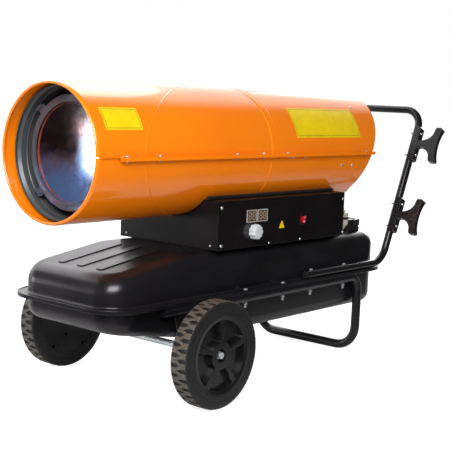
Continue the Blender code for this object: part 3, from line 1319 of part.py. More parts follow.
def build_electrics():
    """Control board, ignition transformer and cord gland of the support box."""
    floor = BOX_FLOOR_Z + BOX_SHEET + GAP
    x = station(BOARD_X)
    height = POST_HEIGHT + BOARD_T / 2
    board = block("control_board", (BOARD_LENGTH, BOARD_WIDTH, BOARD_T), (x, BOARD_Y, floor + height), "board_green")
    parts = []
    for sx in (-1, 1):
        for sy in (-1, 1):
            px = x + sx * (BOARD_LENGTH / 2 - 2 * POST_R)
            py = BOARD_Y + sy * (BOARD_WIDTH / 2 - 2 * POST_R)
            parts.append(rod("post", POST_R, height, "Z", (px, py, floor + height / 2), None, 8))
    for k in (-1, 0, 1):
        tall = RELAY_HEIGHT + BOARD_T / 2
        spot = (x + k * RELAY_PITCH, BOARD_Y, floor + height + tall / 2)
        parts.append(block("relay", (RELAY_LENGTH, RELAY_WIDTH, tall), spot))
    join(board, gathered("board_parts", parts))
    tx = station(TRANSFORMER_X)
    middle = (tx, TRANSFORMER_Y, floor + TRANSFORMER_HEIGHT / 2)
    size = (TRANSFORMER_LENGTH, TRANSFORMER_WIDTH, TRANSFORMER_HEIGHT)
    body = block("ignition_transformer", size, middle, "black_plastic")
    terminals = []
    for side in (-1, 1):
        spot = (tx + TRANSFORMER_LENGTH / 2, TRANSFORMER_Y + side * TRANSFORMER_WIDTH / 4, middle[2])
        terminals.append(rod("terminal", TERMINAL_R, 2 * TERMINAL_REACH, "X", spot, None, 10))
    join(body, gathered("coil_terminals", terminals))
    end = GLAND_HEAD + GLAND_REACH
    gland = [(GLAND_R, end), (GLAND_HEAD_R, GLAND_HEAD), (GLAND_HEAD_R, GAP), (GLAND_R, GAP), (GLAND_R, -GLAND_REACH),
             (GLAND_BORE_R, -GLAND_REACH), (GLAND_BORE_R, end)]
    spot = (station(BOX_REAR_X), GLAND_Y, BOX_FLOOR_Z + GLAND_RISE)
    turned("cable_gland", gland, "X", spot, "black_plastic", 12)


build_shells()
build_hot_parts()
build_motor()
build_guard()
build_tank()
build_fuel_line()
build_box()
build_controls()
build_electrics()
build_axle()
build_wheel(-1, "right")
build_wheel(1, "left")
build_frame()
build_handle()
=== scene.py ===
"""Diesel space heater on two wheels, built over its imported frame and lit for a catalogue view."""
import math

import bmesh
import bpy
from mathutils import Matrix, Vector


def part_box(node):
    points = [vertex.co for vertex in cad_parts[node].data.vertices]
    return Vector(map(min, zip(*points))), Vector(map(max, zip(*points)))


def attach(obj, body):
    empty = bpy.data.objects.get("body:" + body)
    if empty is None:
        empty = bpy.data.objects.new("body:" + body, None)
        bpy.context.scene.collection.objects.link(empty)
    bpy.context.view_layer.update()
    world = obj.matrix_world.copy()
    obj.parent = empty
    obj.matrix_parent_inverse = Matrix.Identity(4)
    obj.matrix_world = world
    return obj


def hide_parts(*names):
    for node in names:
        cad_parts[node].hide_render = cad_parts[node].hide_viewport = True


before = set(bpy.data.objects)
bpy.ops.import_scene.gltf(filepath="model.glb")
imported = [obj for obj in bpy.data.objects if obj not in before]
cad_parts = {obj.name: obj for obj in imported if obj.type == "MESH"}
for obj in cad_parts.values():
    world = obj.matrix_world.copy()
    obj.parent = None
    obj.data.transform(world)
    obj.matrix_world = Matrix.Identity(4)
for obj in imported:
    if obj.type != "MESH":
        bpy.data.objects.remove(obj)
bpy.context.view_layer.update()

# Fuel tank: two deep-drawn pans of sheet steel in black powder coat, joined at a rolled rim.
# The upper pan falls away towards the front, where three ribs are pressed into it; the lower
# pan rises there, so the tank clears the ground when the heater is tipped on its wheels.
front = -0.6515
tank_from, tank_to, tank_half = front + 0.045, front + 1.118, 0.162
rim_width = 0.0245
upper_joint, lower_joint = 0.2369, 0.2320
upper_drop, upper_ramp = 0.036, 0.240
lower_rise, lower_ramp = 0.0488, 0.295


def add(material, kind, inputs=(), **traits):
    """One node of a material; an input is given a value, or another node's output to follow."""
    node = material.node_tree.nodes.new("ShaderNode" + kind)
    for key, value in traits.items():
        setattr(node, key, value)
    for key, value in dict(inputs).items():
        if isinstance(value, bpy.types.NodeSocket):
            material.node_tree.links.new(value, node.inputs[key])
        else:
            node.inputs[key].default_value = value
    return node


def finish(name, light, dark, rough, metallic=0.0, clouds=6.0, grain=700.0, relief=0.1, **shader_values):
    """A surface with clouded colour, uneven gloss and a fine grain; returns it."""
    material = bpy.data.materials.new(name)
    material.use_nodes = True
    shader = material.node_tree.nodes["Principled BSDF"]
    place = add(material, "TexCoord").outputs["Object"]
    cloud = add(material, "TexNoise", {"Vector": place, "Scale": clouds, "Detail": 4.0, "Roughness": 0.55})
    share = add(material, "MapRange", {"Value": cloud.outputs["Fac"], "From Min": 0.35, "From Max": 0.65})
    tone = add(material, "Mix", {0: share.outputs[0], 6: (*light, 1), 7: (*dark, 1)}, data_type="RGBA")
    blot = add(material, "TexNoise", {"Vector": place, "Scale": clouds * 4, "Detail": 3.0, "Roughness": 0.6})
    gloss = add(material, "MapRange", {"Value": blot.outputs["Fac"], "From Min": 0.3, "From Max": 0.7,
                                       "To Min": rough[0], "To Max": rough[1]})
    fine = add(material, "TexNoise", {"Vector": place, "Scale": grain, "Detail": 2.0})
    bump = add(material, "Bump", {"Height": fine.outputs["Fac"], "Strength": relief, "Distance": 0.0004})
    links = material.node_tree.links
    links.new(tone.outputs[2], shader.inputs["Base Color"])
    links.new(gloss.outputs[0], shader.inputs["Roughness"])
    links.new(bump.outputs[0], shader.inputs["Normal"])
    shader.inputs["Metallic"].default_value = metallic
    for key, value in shader_values.items():
        shader.inputs[key.replace("_", " ").title().replace("Ior", "IOR")].default_value = value
    return material


def piece(name, bm, material, slot, body, *nodes, smooth=35):
    """The mesh as a piece that rides on its body, takes a finish and stands for its CAD nodes."""
    bmesh.ops.remove_doubles(bm, verts=bm.verts, dist=0.00001)
    bmesh.ops.recalc_face_normals(bm, faces=bm.faces)
    mesh = bpy.data.meshes.new(name)
    bm.to_mesh(mesh)
    bm.free()
    mesh.shade_smooth()
    mesh.set_sharp_from_angle(angle=math.radians(smooth))
    mesh.materials.append(material)
    made = bpy.data.objects.new(name, mesh)
    bpy.context.scene.collection.objects.link(made)
    even = made.modifiers.new("even_shading", "WEIGHTED_NORMAL")
    even.keep_sharp = True
    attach(made, body)
    if nodes:
        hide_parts(*nodes)
    return made


def ease(bm, edges, width, steps=2):
    """Rounds edges over."""
    bmesh.ops.bevel(bm, geom=list(edges), offset=width, segments=steps, affect="EDGES", profile=0.5,
                    material=-1, clamp_overlap=True)


def sharp(bm, angle=30, among=None):
    """The edges whose two faces meet at more than an angle."""
    return [e for e in (among or bm.edges)
            if len(e.link_faces) == 2 and e.calc_face_angle(0) > math.radians(angle)]


def slab(bm, low, high, corner=0, steps=8):
    """A block between two corners, its upright edges rounded; returns its points."""
    low, high = Vector(low), Vector(high)
    size = high - low
    lay = Matrix.Translation((low + high) / 2) @ Matrix.Diagonal((*size, 1))
    verts = bmesh.ops.create_cube(bm, size=1, matrix=lay)["verts"]
    if corner:
        before = set(bm.verts) - set(verts)
        upright = {e for v in verts for e in v.link_edges
                   if abs(e.verts[0].co.z - e.verts[1].co.z) > size.z / 2}
        ease(bm, upright, corner, steps)
        verts = [v for v in bm.verts if v not in before]
    return verts


def pull(bm, faces, way):
    """Draws a patch of faces out of a body; returns its points and faces where they end up."""
    grown = bmesh.ops.extrude_face_region(bm, geom=faces)["geom"]
    bmesh.ops.delete(bm, geom=faces, context="FACES")
    verts = [g for g in grown if isinstance(g, bmesh.types.BMVert)]
    bmesh.ops.translate(bm, verts=verts, vec=way)
    return verts, [g for g in grown if isinstance(g, bmesh.types.BMFace)]


def drop_at(x):
    return upper_drop * max(0, 1 - (x - tank_from) / upper_ramp)


def pan(joint, side, plate, inset, depth, edge, roll, fall, bend):
    """One pan: the flat of its rim, the rolled edge, and the wall drawn up or down from it."""
    bm = bmesh.new()
    reach = rim_width
    low, high = sorted((joint, joint - side * plate))
    slab(bm, (tank_from - reach, -tank_half - reach, low), (tank_to + reach, tank_half + reach, high),
         0.063 + reach, 14)
    face = max(bm.faces, key=lambda f: f.calc_center_median().z * side)
    roll_faces = bmesh.ops.inset_region(bm, faces=[face], thickness=0.0035, use_even_offset=True)["faces"]
    bmesh.ops.inset_region(bm, faces=[face], thickness=reach - 0.0035 + inset, use_even_offset=True)
    top = pull(bm, [face], (0, 0, side * depth))[1][0]
    rises = [(v, e) for v in top.verts for e in v.link_edges if e not in top.edges[:]]
    ends = {e.other_vert(v) for v, e in rises}
    foot = {e for v in ends for e in v.link_edges if e.other_vert(v) in ends}
    ease(bm, foot, 0.005, 4)
    ease(bm, top.edges, edge, 9)
    lifted = pull(bm, [f for f in roll_faces if f.is_valid], (0, 0, side * roll))[0]
    crest = {e for v in lifted for e in v.link_edges if e.other_vert(v) in lifted}
    bm.normal_update()
    ease(bm, sharp(bm, 40, crest), 0.0011, 3)
    bmesh.ops.bisect_plane(bm, geom=bm.verts[:] + bm.edges[:] + bm.faces[:], dist=1e-6,
                           plane_co=(bend, 0, 0), plane_no=(1, 0, 0))
    for v in bm.verts:
        if (v.co.z - joint) * side > 0.02:
            v.co.z -= side * fall(v.co.x)
    return bm


black_satin = finish("black_satin_powder_coat", (0.0055, 0.0050, 0.0058), (0.0090, 0.0085, 0.0096), (0.26, 0.36),
                     clouds=4.0, grain=900.0, relief=0.04, specular_ior_level=0.30, coat_weight=0.30, coat_roughness=0.22,
                     specular_tint=(1.0, 0.92, 1.0, 1.0), coat_tint=(1.0, 0.95, 1.0, 1.0))
upper = pan(upper_joint, 1, 0.0023, 0.0, 0.1036, 0.042, 0.0016, drop_at, tank_from + upper_ramp)
for k in (-1, 0, 1):
    crown = 0.3405 + 0.0024
    others = set(upper.verts)
    slab(upper, (front + 0.092, k * 0.064 - 0.010, crown - 0.008), (front + 0.282, k * 0.064 + 0.010, crown), 0.0045)
    ease(upper, {e for v in set(upper.verts) - others for e in v.link_edges
                 if min(w.co.z for w in e.verts) > crown - 0.0001}, 0.0010, 2)
    for v in set(upper.verts) - others:
        v.co.z -= drop_at(v.co.x)
piece("tank_upper_pan", upper, black_satin, "black_satin", "heater", "tank_upper")
lower = pan(lower_joint, -1, 0.0023, 0.0015, 0.1005, 0.030, 0.0030,
            lambda x: lower_rise * max(0, 1 - (x - tank_from) / lower_ramp), tank_from + lower_ramp)
piece("tank_lower_pan", lower, black_satin, "black_satin", "heater", "tank_lower")

# Chassis: one black-coated steel tube bent into two rails and the rear leg that the heater
# stands on, with zinc bolts through the rails and the tank's rim.
rail_y, quarter = 0.1745, math.pi / 2
turns = {"X": Matrix.Rotation(quarter, 4, "Y"), "Y": Matrix.Rotation(-quarter, 4, "X"), "Z": Matrix.Identity(4)}


def bent_tube(corners, bends, radius, sides=28, steps=12):
    """A round tube along corners, drawn straight between them and swung round each bend."""
    bm = bmesh.new()
    points = [Vector(c) for c in corners]
    way = (points[1] - points[0]).normalized()
    lay = Matrix.Translation(points[0]) @ Vector((0, 0, 1)).rotation_difference(way).to_matrix().to_4x4()
    ring = bmesh.ops.create_circle(bm, radius=radius, segments=sides, matrix=lay)["verts"]
    start = ring[:]
    at = points[0]
    for k, corner in enumerate(points[1:], 1):
        last = k == len(points) - 1
        after = way if last else (points[k + 1] - corner).normalized()
        angle = way.angle(after) if not last else 0
        stop = corner - way * (bends[k - 1] * math.tan(angle / 2) if angle else 0)
        edges = [e for e in bm.edges if e.verts[0] in ring and e.verts[1] in ring]
        ring = [g for g in bmesh.ops.extrude_edge_only(bm, edges=edges)["geom"] if isinstance(g, bmesh.types.BMVert)]
        bmesh.ops.translate(bm, verts=ring, vec=stop - at)
        at = stop
        if angle:
            inward = (after - way * way.dot(after)).normalized()
            edges = [e for e in bm.edges if e.verts[0] in ring and e.verts[1] in ring]
            swung = bmesh.ops.spin(bm, geom=ring + edges, cent=stop + inward * bends[k - 1],
                                   axis=way.cross(inward), angle=angle, steps=steps, use_merge=False)
            ring = [g for g in swung["geom_last"] if isinstance(g, bmesh.types.BMVert)]
            at = corner + after * (corner - stop).length
            way = after
    for end in (start, ring):
        edges = [e for e in bm.edges if e.verts[0] in end and e.verts[1] in end]
        bmesh.ops.holes_fill(bm, edges=edges)
    return bm


def turned(profile, axis, centre, steps=48, bm=None, swing=2 * math.pi):
    """A lathe shape: (radius, height) points spun about an axis through a centre."""
    bm = bm or bmesh.new()
    lay = Matrix.Translation(centre) @ turns[axis]
    points = [bm.verts.new(lay @ Vector((r, 0, h))) for r, h in profile]
    edges = [bm.edges.new(pair) for pair in zip(points, points[1:])]
    bmesh.ops.spin(bm, geom=points + edges, cent=centre, axis=lay.to_3x3() @ Vector((0, 0, 1)), angle=swing,
                   steps=steps, use_merge=swing > 6)
    return bm


leg_x, floor_bar = front + 0.9925, 0.0125
rails = bent_tube([(front + 0.190, -rail_y, 0.2192), (leg_x, -rail_y, 0.2192), (leg_x, -rail_y, floor_bar),
                   (leg_x, rail_y, floor_bar), (leg_x, rail_y, 0.2192), (front + 0.190, rail_y, 0.2192)],
                  (0.043, 0.062, 0.062, 0.043), 0.0125)
piece("chassis_tube", rails, black_satin, "black_satin", "heater", "chassis_frame")


def hexagon(bm, centre, axis, radius, height, rounding=0.0006):
    """A hexagon head or nut standing on its centre along an axis."""
    others = set(bm.verts)
    lay = Matrix.Translation(centre) @ turns[axis] @ Matrix.Translation((0, 0, height / 2))
    bmesh.ops.create_cone(bm, cap_ends=True, segments=6, radius1=radius, radius2=radius, depth=abs(height), matrix=lay)
    made = {e for v in set(bm.verts) - others for e in v.link_edges}
    bm.normal_update()
    ease(bm, made, rounding, 2)


def stud(bm, centre, axis, radius, low, high, sides=16):
    """A plain round shank with eased ends."""
    r = min(radius * 0.25, 0.0006)
    turned([(0, low), (radius - r, low), (radius, low + r), (radius, high - r), (radius - r, high), (0, high)],
           axis, centre, sides, bm)


zinc = finish("bright_zinc", (0.84, 0.89, 0.93), (0.74, 0.79, 0.84), (0.22, 0.34), metallic=0.75, clouds=14.0,
              grain=500.0, relief=0.01)
bolts = bmesh.new()
for side in (-1, 1):
    for x, head in ((0.486, 0.2370), (0.639, 0.2370), (0.761, 0.2592), (0.917, 0.2592)):
        spot = (front + x, side * rail_y, 0)
        hexagon(bolts, (spot[0], spot[1], head), "Z", 0.0052, 0.0035)
        stud(bolts, spot, "Z", 0.003, 0.1925, head)
        hexagon(bolts, (spot[0], spot[1], 0.2010), "Z", 0.0056, 0.0050)
piece("rail_bolts", bolts, zinc, "zinc_steel", "heater")

# Axle: a bright zinc-plated rod under the front of the tank, held by two black plate brackets.
axle_x, axle_z = -0.3735, 0.125
axle_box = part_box("wheel_axle")
axle = bmesh.new()
stud(axle, (axle_x, 0, axle_z), "Y", 0.008, axle_box[0].y, axle_box[1].y, 32)
piece("axle_rod", axle, zinc, "zinc_steel", "heater", "wheel_axle")


def eased(name, node, material, slot, body, width, steps=2):
    """A CAD node again with its edges rounded over: its loose triangles joined, flattened, bevelled."""
    bm = bmesh.new()
    bm.from_mesh(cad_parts[node].data)
    bmesh.ops.remove_doubles(bm, verts=bm.verts, dist=0.00002)
    bmesh.ops.dissolve_limit(bm, angle_limit=math.radians(0.5), verts=bm.verts, edges=bm.edges)
    bm.normal_update()
    ease(bm, sharp(bm, 33), width, steps)
    return piece(name, bm, material, slot, body, node)


for side in ("right", "left"):
    eased(f"axle_plate_{side}", f"axle_bracket_{side}", black_satin, "black_satin", "heater", 0.0008)

# Tyres: solid rubber, moulded with two staggered rows of slots that run in from each shoulder.
# The worn lands between the slots have picked up pale brown dust; the walls stay dark.
wheel_y, tyre_r, slot_pairs = 0.2577, 0.125, 34


def rubber_of_tyre():
    """Dark rubber, dusty brown where the tread stands full height, by distance from the axle."""
    m = finish("tyre_rubber", (0.008, 0.0075, 0.008), (0.013, 0.012, 0.013), (0.46, 0.66), clouds=30.0,
               grain=900.0, relief=0.35)
    shader = m.node_tree.nodes["Principled BSDF"]
    tone = shader.inputs["Base Color"].links[0].from_socket
    place = add(m, "TexCoord").outputs["Object"]
    apart = add(m, "SeparateXYZ", {0: place})
    dx = add(m, "Math", {0: apart.outputs["X"], 1: axle_x}, operation="SUBTRACT")
    dz = add(m, "Math", {0: apart.outputs["Z"], 1: axle_z}, operation="SUBTRACT")
    flat = add(m, "CombineXYZ", {0: dx.outputs[0], 1: dz.outputs[0]})
    reach = add(m, "VectorMath", {0: flat.outputs[0]}, operation="LENGTH")
    worn = add(m, "MapRange", {"Value": reach.outputs["Value"], "From Min": tyre_r - 0.0022, "From Max": tyre_r - 0.0006})
    dust = add(m, "TexNoise", {"Vector": place, "Scale": 160.0, "Detail": 8.0, "Roughness": 0.7})
    patch = add(m, "MapRange", {"Value": dust.outputs["Fac"], "From Min": 0.38, "From Max": 0.6, "To Min": 0.45})
    share = add(m, "Math", {0: worn.outputs[0], 1: patch.outputs[0]}, operation="MULTIPLY")
    brown = add(m, "Mix", {0: share.outputs[0], 6: tone, 7: (0.115, 0.095, 0.078, 1)}, data_type="RGBA")
    m.node_tree.links.new(brown.outputs[2], shader.inputs["Base Color"])
    return m


tyre_rubber = rubber_of_tyre()
for side, name in ((-1, "right"), (1, "left")):
    hub = (axle_x, side * wheel_y, axle_z)
    columns = [(tyre_r, -0.0185 + 0.037 * k / 8) for k in range(9)]
    wall = [(0.1238, 0.0213), (0.1205, 0.0238), (0.1150, 0.0249), (0.1065, 0.0250), (0.1055, 0.0244), (0.1040, 0.0244),
            (0.1030, 0.0250), (0.0935, 0.0250), (0.0915, 0.0235)]
    section = columns + wall + [(r, -y) for r, y in reversed(wall)] + columns[:1]
    tyre = turned(section, "Y", hub, 12 * slot_pairs)
    bmesh.ops.remove_doubles(tyre, verts=tyre.verts, dist=0.00001)
    bmesh.ops.recalc_face_normals(tyre, faces=tyre.faces)
    slots = []
    for f in tyre.faces:
        mid = f.calc_center_median() - Vector(hub)
        if Vector((mid.x, 0, mid.z)).length < 0.1236:
            continue
        turn = math.floor(math.atan2(mid.z, mid.x) / (2 * math.pi) * 12 * slot_pairs)
        for row in (-1, 1):
            reach = mid.y * row
            wide = 2 if reach > 0.0045 else 1 if reach > 0 else 0 if reach > -0.0045 else -1
            if abs((turn + 3 * row) % 12 - 6) <= wide:
                slots.append(f)
    bmesh.ops.inset_region(tyre, faces=slots, thickness=0.0004, depth=-0.0032, use_boundary=True, use_even_offset=True)
    piece(f"rubber_tyre_{name}", tyre, tyre_rubber, "tyre_rubber", f"wheel_{name}", f"tyre_{name}", smooth=28)

# Wheel hubs: black nylon mouldings with five spokes over deep pockets outside and a plain
# cored disc inside; a zinc nut and washer hold each one on the axle, down in a round recess.
hub_plastic = finish("hub_nylon", (0.0065, 0.006, 0.0068), (0.0105, 0.010, 0.011), (0.17, 0.28), clouds=14.0,
                     grain=800.0, relief=0.25)
pocket_rows = ((0.0330, 8), (0.0345, 3.5), (0.0380, 0.8), (0.047, 0), (0.055, 0), (0.064, 0), (0.073, 0.3),
               (0.0785, 1.4), (0.0815, 4))
for side, name in ((-1, "right"), (1, "left")):
    hub = Vector((axle_x, side * wheel_y, axle_z))
    out = 0.0215 * side
    face = [(0.0150, out - 0.0008 * side), (0.0160, out)] + [(0.024, out), (0.0290, out)]
    face += [(r, out) for r, _ in pocket_rows] + [(0.0840, out), (0.0870, out + 0.0014 * side), (0.0915, out + 0.002 * side)]
    back = [(0.0915, -0.0235 * side), (0.0885, -0.0235 * side), (0.0880, -0.0222 * side)]
    back += [(r, -0.0222 * side) for r in (0.0862, 0.0840, 0.0818, 0.0796, 0.0600, 0.0459, 0.0437, 0.0415, 0.0393, 0.0371)]
    back += [(0.0270, -0.0222 * side), (0.0260, -0.0235 * side), (0.0085, -0.0235 * side)]
    well = [(0.0085, 0.0045 * side), (0.0150, 0.0045 * side), (0.0150, out - 0.0008 * side)]
    disc = turned(face + back + well, "Y", hub, 120)
    bmesh.ops.remove_doubles(disc, verts=disc.verts, dist=0.00001)
    bmesh.ops.recalc_face_normals(disc, faces=disc.faces)
    spoke = 2 * math.pi / 5
    lead = math.radians(-18)
    narrow = {round(r, 4): math.radians(a) for r, a in pocket_rows}
    for v in disc.verts:
        p = v.co - hub
        r = math.hypot(p.x, p.z)
        if abs(p.y - out) > 0.0001 or round(r, 4) not in narrow:
            continue
        angle = math.atan2(p.z, p.x) - lead
        off = (angle + spoke / 2) % spoke - spoke / 2
        half = spoke / 2 - math.asin(min(1, (0.0068 + 0.0016 * (r / 0.055 - 1) ** 2 * 9) / r)) - narrow[round(r, 4)]
        inner = math.radians(27)
        wanted = off * half / inner if abs(off) <= inner + 1e-4 else math.copysign(
            half + (abs(off) - inner) * (spoke / 2 - half) / (spoke / 2 - inner), off)
        v.co = hub + Matrix.Rotation(off - wanted, 3, "Y") @ p
    pockets = []
    for f in disc.faces:
        p = f.calc_center_median() - hub
        r = math.hypot(p.x, p.z)
        angle = math.atan2(p.z, p.x) - lead
        off = abs((angle + spoke / 2) % spoke - spoke / 2)
        if abs(p.y - out) < 0.0001 and 0.0332 < r < 0.0813:
            pockets.append((off, f))
    pockets = [f for off, f in pockets if sum(off > abs(
        ((math.atan2((w.co - hub).z, (w.co - hub).x) - lead + spoke / 2) % spoke) - spoke / 2) for w in f.verts) < 5
        and off < math.radians(30)]
    pull(disc, pockets, (0, -0.0130 * side, 0))
    disc.normal_update()
    brim = [e for e in sharp(disc, 60) if all(abs((w.co - hub).y - out) < 0.0001 for w in e.verts)
            and 0.030 < math.hypot((e.verts[0].co - hub).x, (e.verts[0].co - hub).z) < 0.083]
    ease(disc, brim, 0.0010, 2)
    for r, start in ((0.0840, -128.4), (0.0415, -105.4)):
        for k in range(5):
            angle = math.radians(start) + spoke * k
            spot = hub + Vector((r * math.cos(angle), -0.0222 * side, r * math.sin(angle)))
            hole = [f for f in disc.faces if (f.calc_center_median() - spot).length < 0.0042]
            for v in {v for f in hole for v in f.verts if any(g not in hole for g in v.link_faces)}:
                v.co = spot + (v.co - spot).normalized() * 0.0045
            pull(disc, hole, (0, 0.013 * side, 0))
    for k in range(5):
        others = set(disc.verts)
        for j in range(3):
            inner, outer = sorted((0.0080 * side, 0.0175 * side))
            slab(disc, (0.0500 + 0.0026 * j, inner, 0.0062), (0.0509 + 0.0026 * j, outer, 0.0105))
        turn = Matrix.Translation(hub) @ Matrix.Rotation(-(lead + spoke * (k + 0.5)), 4, "Y")
        bmesh.ops.transform(disc, matrix=turn, verts=list(set(disc.verts) - others))
    piece(f"spoked_hub_{name}", disc, hub_plastic, "black_plastic", f"wheel_{name}", f"wheel_hub_{name}", smooth=30)
    nut = bmesh.new()
    stud(nut, hub, "Y", 0.0130, *sorted((0.0048 * side, 0.0064 * side)), 32)
    hexagon(nut, hub + Vector((0, 0.0064 * side, 0)), "Y", 0.0105, 0.0075 * side, 0.0009)
    stud(nut, hub, "Y", 0.0058, *sorted((0.0139 * side, 0.0165 * side)), 24)
    piece(f"wheel_nut_{name}", nut, zinc, "zinc_steel", "heater", f"axle_nut_{name}")

# Filler at the rear of the tank: a moulded neck with a collar, a rubber seal, a lobed screw cap
# and a strainer basket that hangs inside; a zinc drain plug sits in the tank's floor.
black_plastic = finish("black_moulding", (0.007, 0.007, 0.008), (0.012, 0.012, 0.013), (0.22, 0.34), clouds=40.0,
                       grain=1200.0, relief=0.2)
rubber = finish("soft_rubber", (0.008, 0.008, 0.009), (0.014, 0.014, 0.014), (0.5, 0.7), clouds=50.0, grain=1500.0,
                relief=0.3)
fill = (0.3885, -0.098, 0.3405)
neck = turned([(0.026, 0.024), (0.026, 0.0103), (0.034, 0.0103), (0.034, 0.0003), (0.026, 0.0003), (0.026, -0.024),
               (0.024, -0.024), (0.024, 0.024), (0.026, 0.024)], "Z", fill, 64)
bmesh.ops.remove_doubles(neck, verts=neck.verts, dist=0.00001)
neck.normal_update()
ease(neck, sharp(neck), 0.0005)
piece("neck_moulding", neck, black_plastic, "black_plastic", "heater", "filler_neck")
seal = turned([(0.0268, 0.0106), (0.032, 0.0106), (0.032, 0.0126), (0.0268, 0.0126), (0.0268, 0.0106)], "Z", fill, 64)
piece("rubber_cap_seal", seal, rubber, "hose_rubber", "seal", "cap_seal")


def lobed(bm, centre, axis, lobes, depth, inside):
    """Presses shallow hollows between the lobes of a grip, all the way down its side."""
    lay = Matrix.Translation(centre) @ turns[axis]
    back = lay.inverted()
    for v in bm.verts:
        p = back @ v.co
        r = math.hypot(p.x, p.y)
        if r > inside:
            dip = depth * (0.5 - 0.5 * math.cos(lobes * math.atan2(p.y, p.x))) ** 1.6
            v.co = lay @ Vector((p.x * (1 - dip / r), p.y * (1 - dip / r), p.z))


cap = turned([(0, 0.0298), (0.020, 0.0298), (0.0212, 0.0312), (0.0232, 0.0322), (0.0300, 0.0328), (0.0332, 0.0322),
              (0.0347, 0.0306), (0.0350, 0.0285), (0.0350, 0.0150), (0.0344, 0.0135), (0.0330, 0.0129), (0.0270, 0.0129),
              (0.0270, 0.0256), (0, 0.0256)], "Z", fill, 96)
lobed(cap, fill, "Z", 8, 0.0058, 0.0285)
piece("lobed_fuel_cap", cap, black_plastic, "black_plastic", "cap", "fuel_cap")
zinc_wire = finish("strainer_mesh", (0.30, 0.29, 0.27), (0.20, 0.19, 0.18), (0.3, 0.5), clouds=80.0, grain=1400.0,
                   relief=0.8)
basket = turned([(0, -0.061), (0.0227, -0.061), (0.0227, 0.0253), (0.025, 0.0253), (0.025, 0.0243), (0.0237, 0.0243),
                 (0.0237, -0.062), (0, -0.062)], "Z", fill, 48)
piece("strainer_basket", basket, zinc_wire, "clear_plastic", "heater", "fuel_strainer")
eased("tank_drain_plug", "drain_plug", zinc, "zinc_steel", "heater", 0.0006)

# Fuel line: a see-through filter standing on the tank behind the box, clipped by a dark band,
# with one rubber hose from its top into the box and another from the tank.
filter_shell = finish("filter_shell", (0.46, 0.41, 0.35), (0.58, 0.54, 0.48), (0.16, 0.28), clouds=60.0, grain=500.0,
                      relief=0.1, coat_weight=0.5)
filter_at = (front + 0.962, -0.128, 0.3408)
body = [(0, 0.0723), (0.0060, 0.0723), (0.0072, 0.0712), (0.0072, 0.0650), (0.0112, 0.0640), (0.0120, 0.0625),
        (0.0120, 0.0600), (0.0185, 0.0580), (0.0195, 0.0562), (0.0195, 0.0255), (0.0185, 0.0235), (0.0072, 0.0070),
        (0.0066, 0.0060), (0.0066, 0.0), (0, 0)]
piece("filter_bowl", turned(body, "Z", filter_at, 48), filter_shell, "clear_plastic", "heater", "fuel_filter")
band = turned([(0.0195, 0.0385), (0.0202, 0.0385), (0.0202, 0.0445), (0.0195, 0.0445)], "Z", filter_at, 48)
piece("filter_band", band, black_plastic, "black_plastic", "heater")
eased("hose_to_box", "suction_hose", rubber, "hose_rubber", "heater", 0.0007)
eased("hose_from_tank", "feed_hose", rubber, "hose_rubber", "heater", 0.0007)

# Support box: folded sheet steel in glossier black that carries the tube, with two flat side
# panels held by zinc screws, and a soft edging strip where the tube meets the top.
gloss_black = finish("gloss_black_sheet", (0.0050, 0.0040, 0.0045), (0.0075, 0.0062, 0.0068), (0.16, 0.26), clouds=5.0,
                     grain=1200.0, relief=0.04, specular_ior_level=0.4, coat_weight=0.3, coat_roughness=0.18)
satin_black = finish("satin_black_sheet", (0.0050, 0.0040, 0.0045), (0.0075, 0.0062, 0.0068), (0.34, 0.46), clouds=5.0,
                     grain=1200.0, relief=0.04, specular_ior_level=0.2)
eased("folded_box", "support_box", satin_black, "black_satin", "heater", 0.0006)
eased("panel_near", "control_panel", gloss_black, "black_satin", "heater", 0.0009, 3)
eased("panel_far", "far_side_panel", gloss_black, "black_satin", "heater", 0.0009, 3)
box_from, box_to, box_half, box_top = front + 0.382, front + 0.9175, 0.165, 0.460
for side, name in ((-1, "right"), (1, "left")):
    low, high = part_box(f"edge_trim_{name}")
    strip = bmesh.new()
    slab(strip, low, high)
    ease(strip, [e for e in strip.edges if abs(e.verts[0].co.x - e.verts[1].co.x) > 0.1], 0.0026, 4)
    piece(f"edging_{name}", strip, rubber, "hose_rubber", "heater", f"edge_trim_{name}")


def screw(bm, centre, axis, radius, height, cross=True):
    """A pan-head screw: a plain domed head."""
    sign = 1 if height > 0 else -1
    h = abs(height)
    crown = [(0, h), (radius * 0.35, h * 0.98), (radius * 0.7, h * 0.82), (radius * 0.93, h * 0.5), (radius, h * 0.15),
             (radius, 0), (0, 0)]
    turned([(r, z * sign) for r, z in crown], axis, centre, 20, bm)


screws = bmesh.new()
for side in (-1, 1):
    for x, z in ((0.393, 0.444), (0.395, 0.352), (0.909, 0.442), (0.915, 0.349)):
        screw(screws, (front + x, side * box_half, z), "Y", 0.0042 if x < 0.9 else 0.0034, 0.0022 * side)
    for x, z in ((0.583, 0.3455), (0.717, 0.3455)):
        screw(screws, (front + x, side * box_half, z), "Y", 0.0030, 0.0018 * side)
screw(screws, (box_from, -0.142, 0.351), "X", 0.0026, -0.0018)
screw(screws, (box_from, 0.142, 0.351), "X", 0.0026, -0.0018)
piece("panel_screws", screws, zinc, "zinc_steel", "heater")

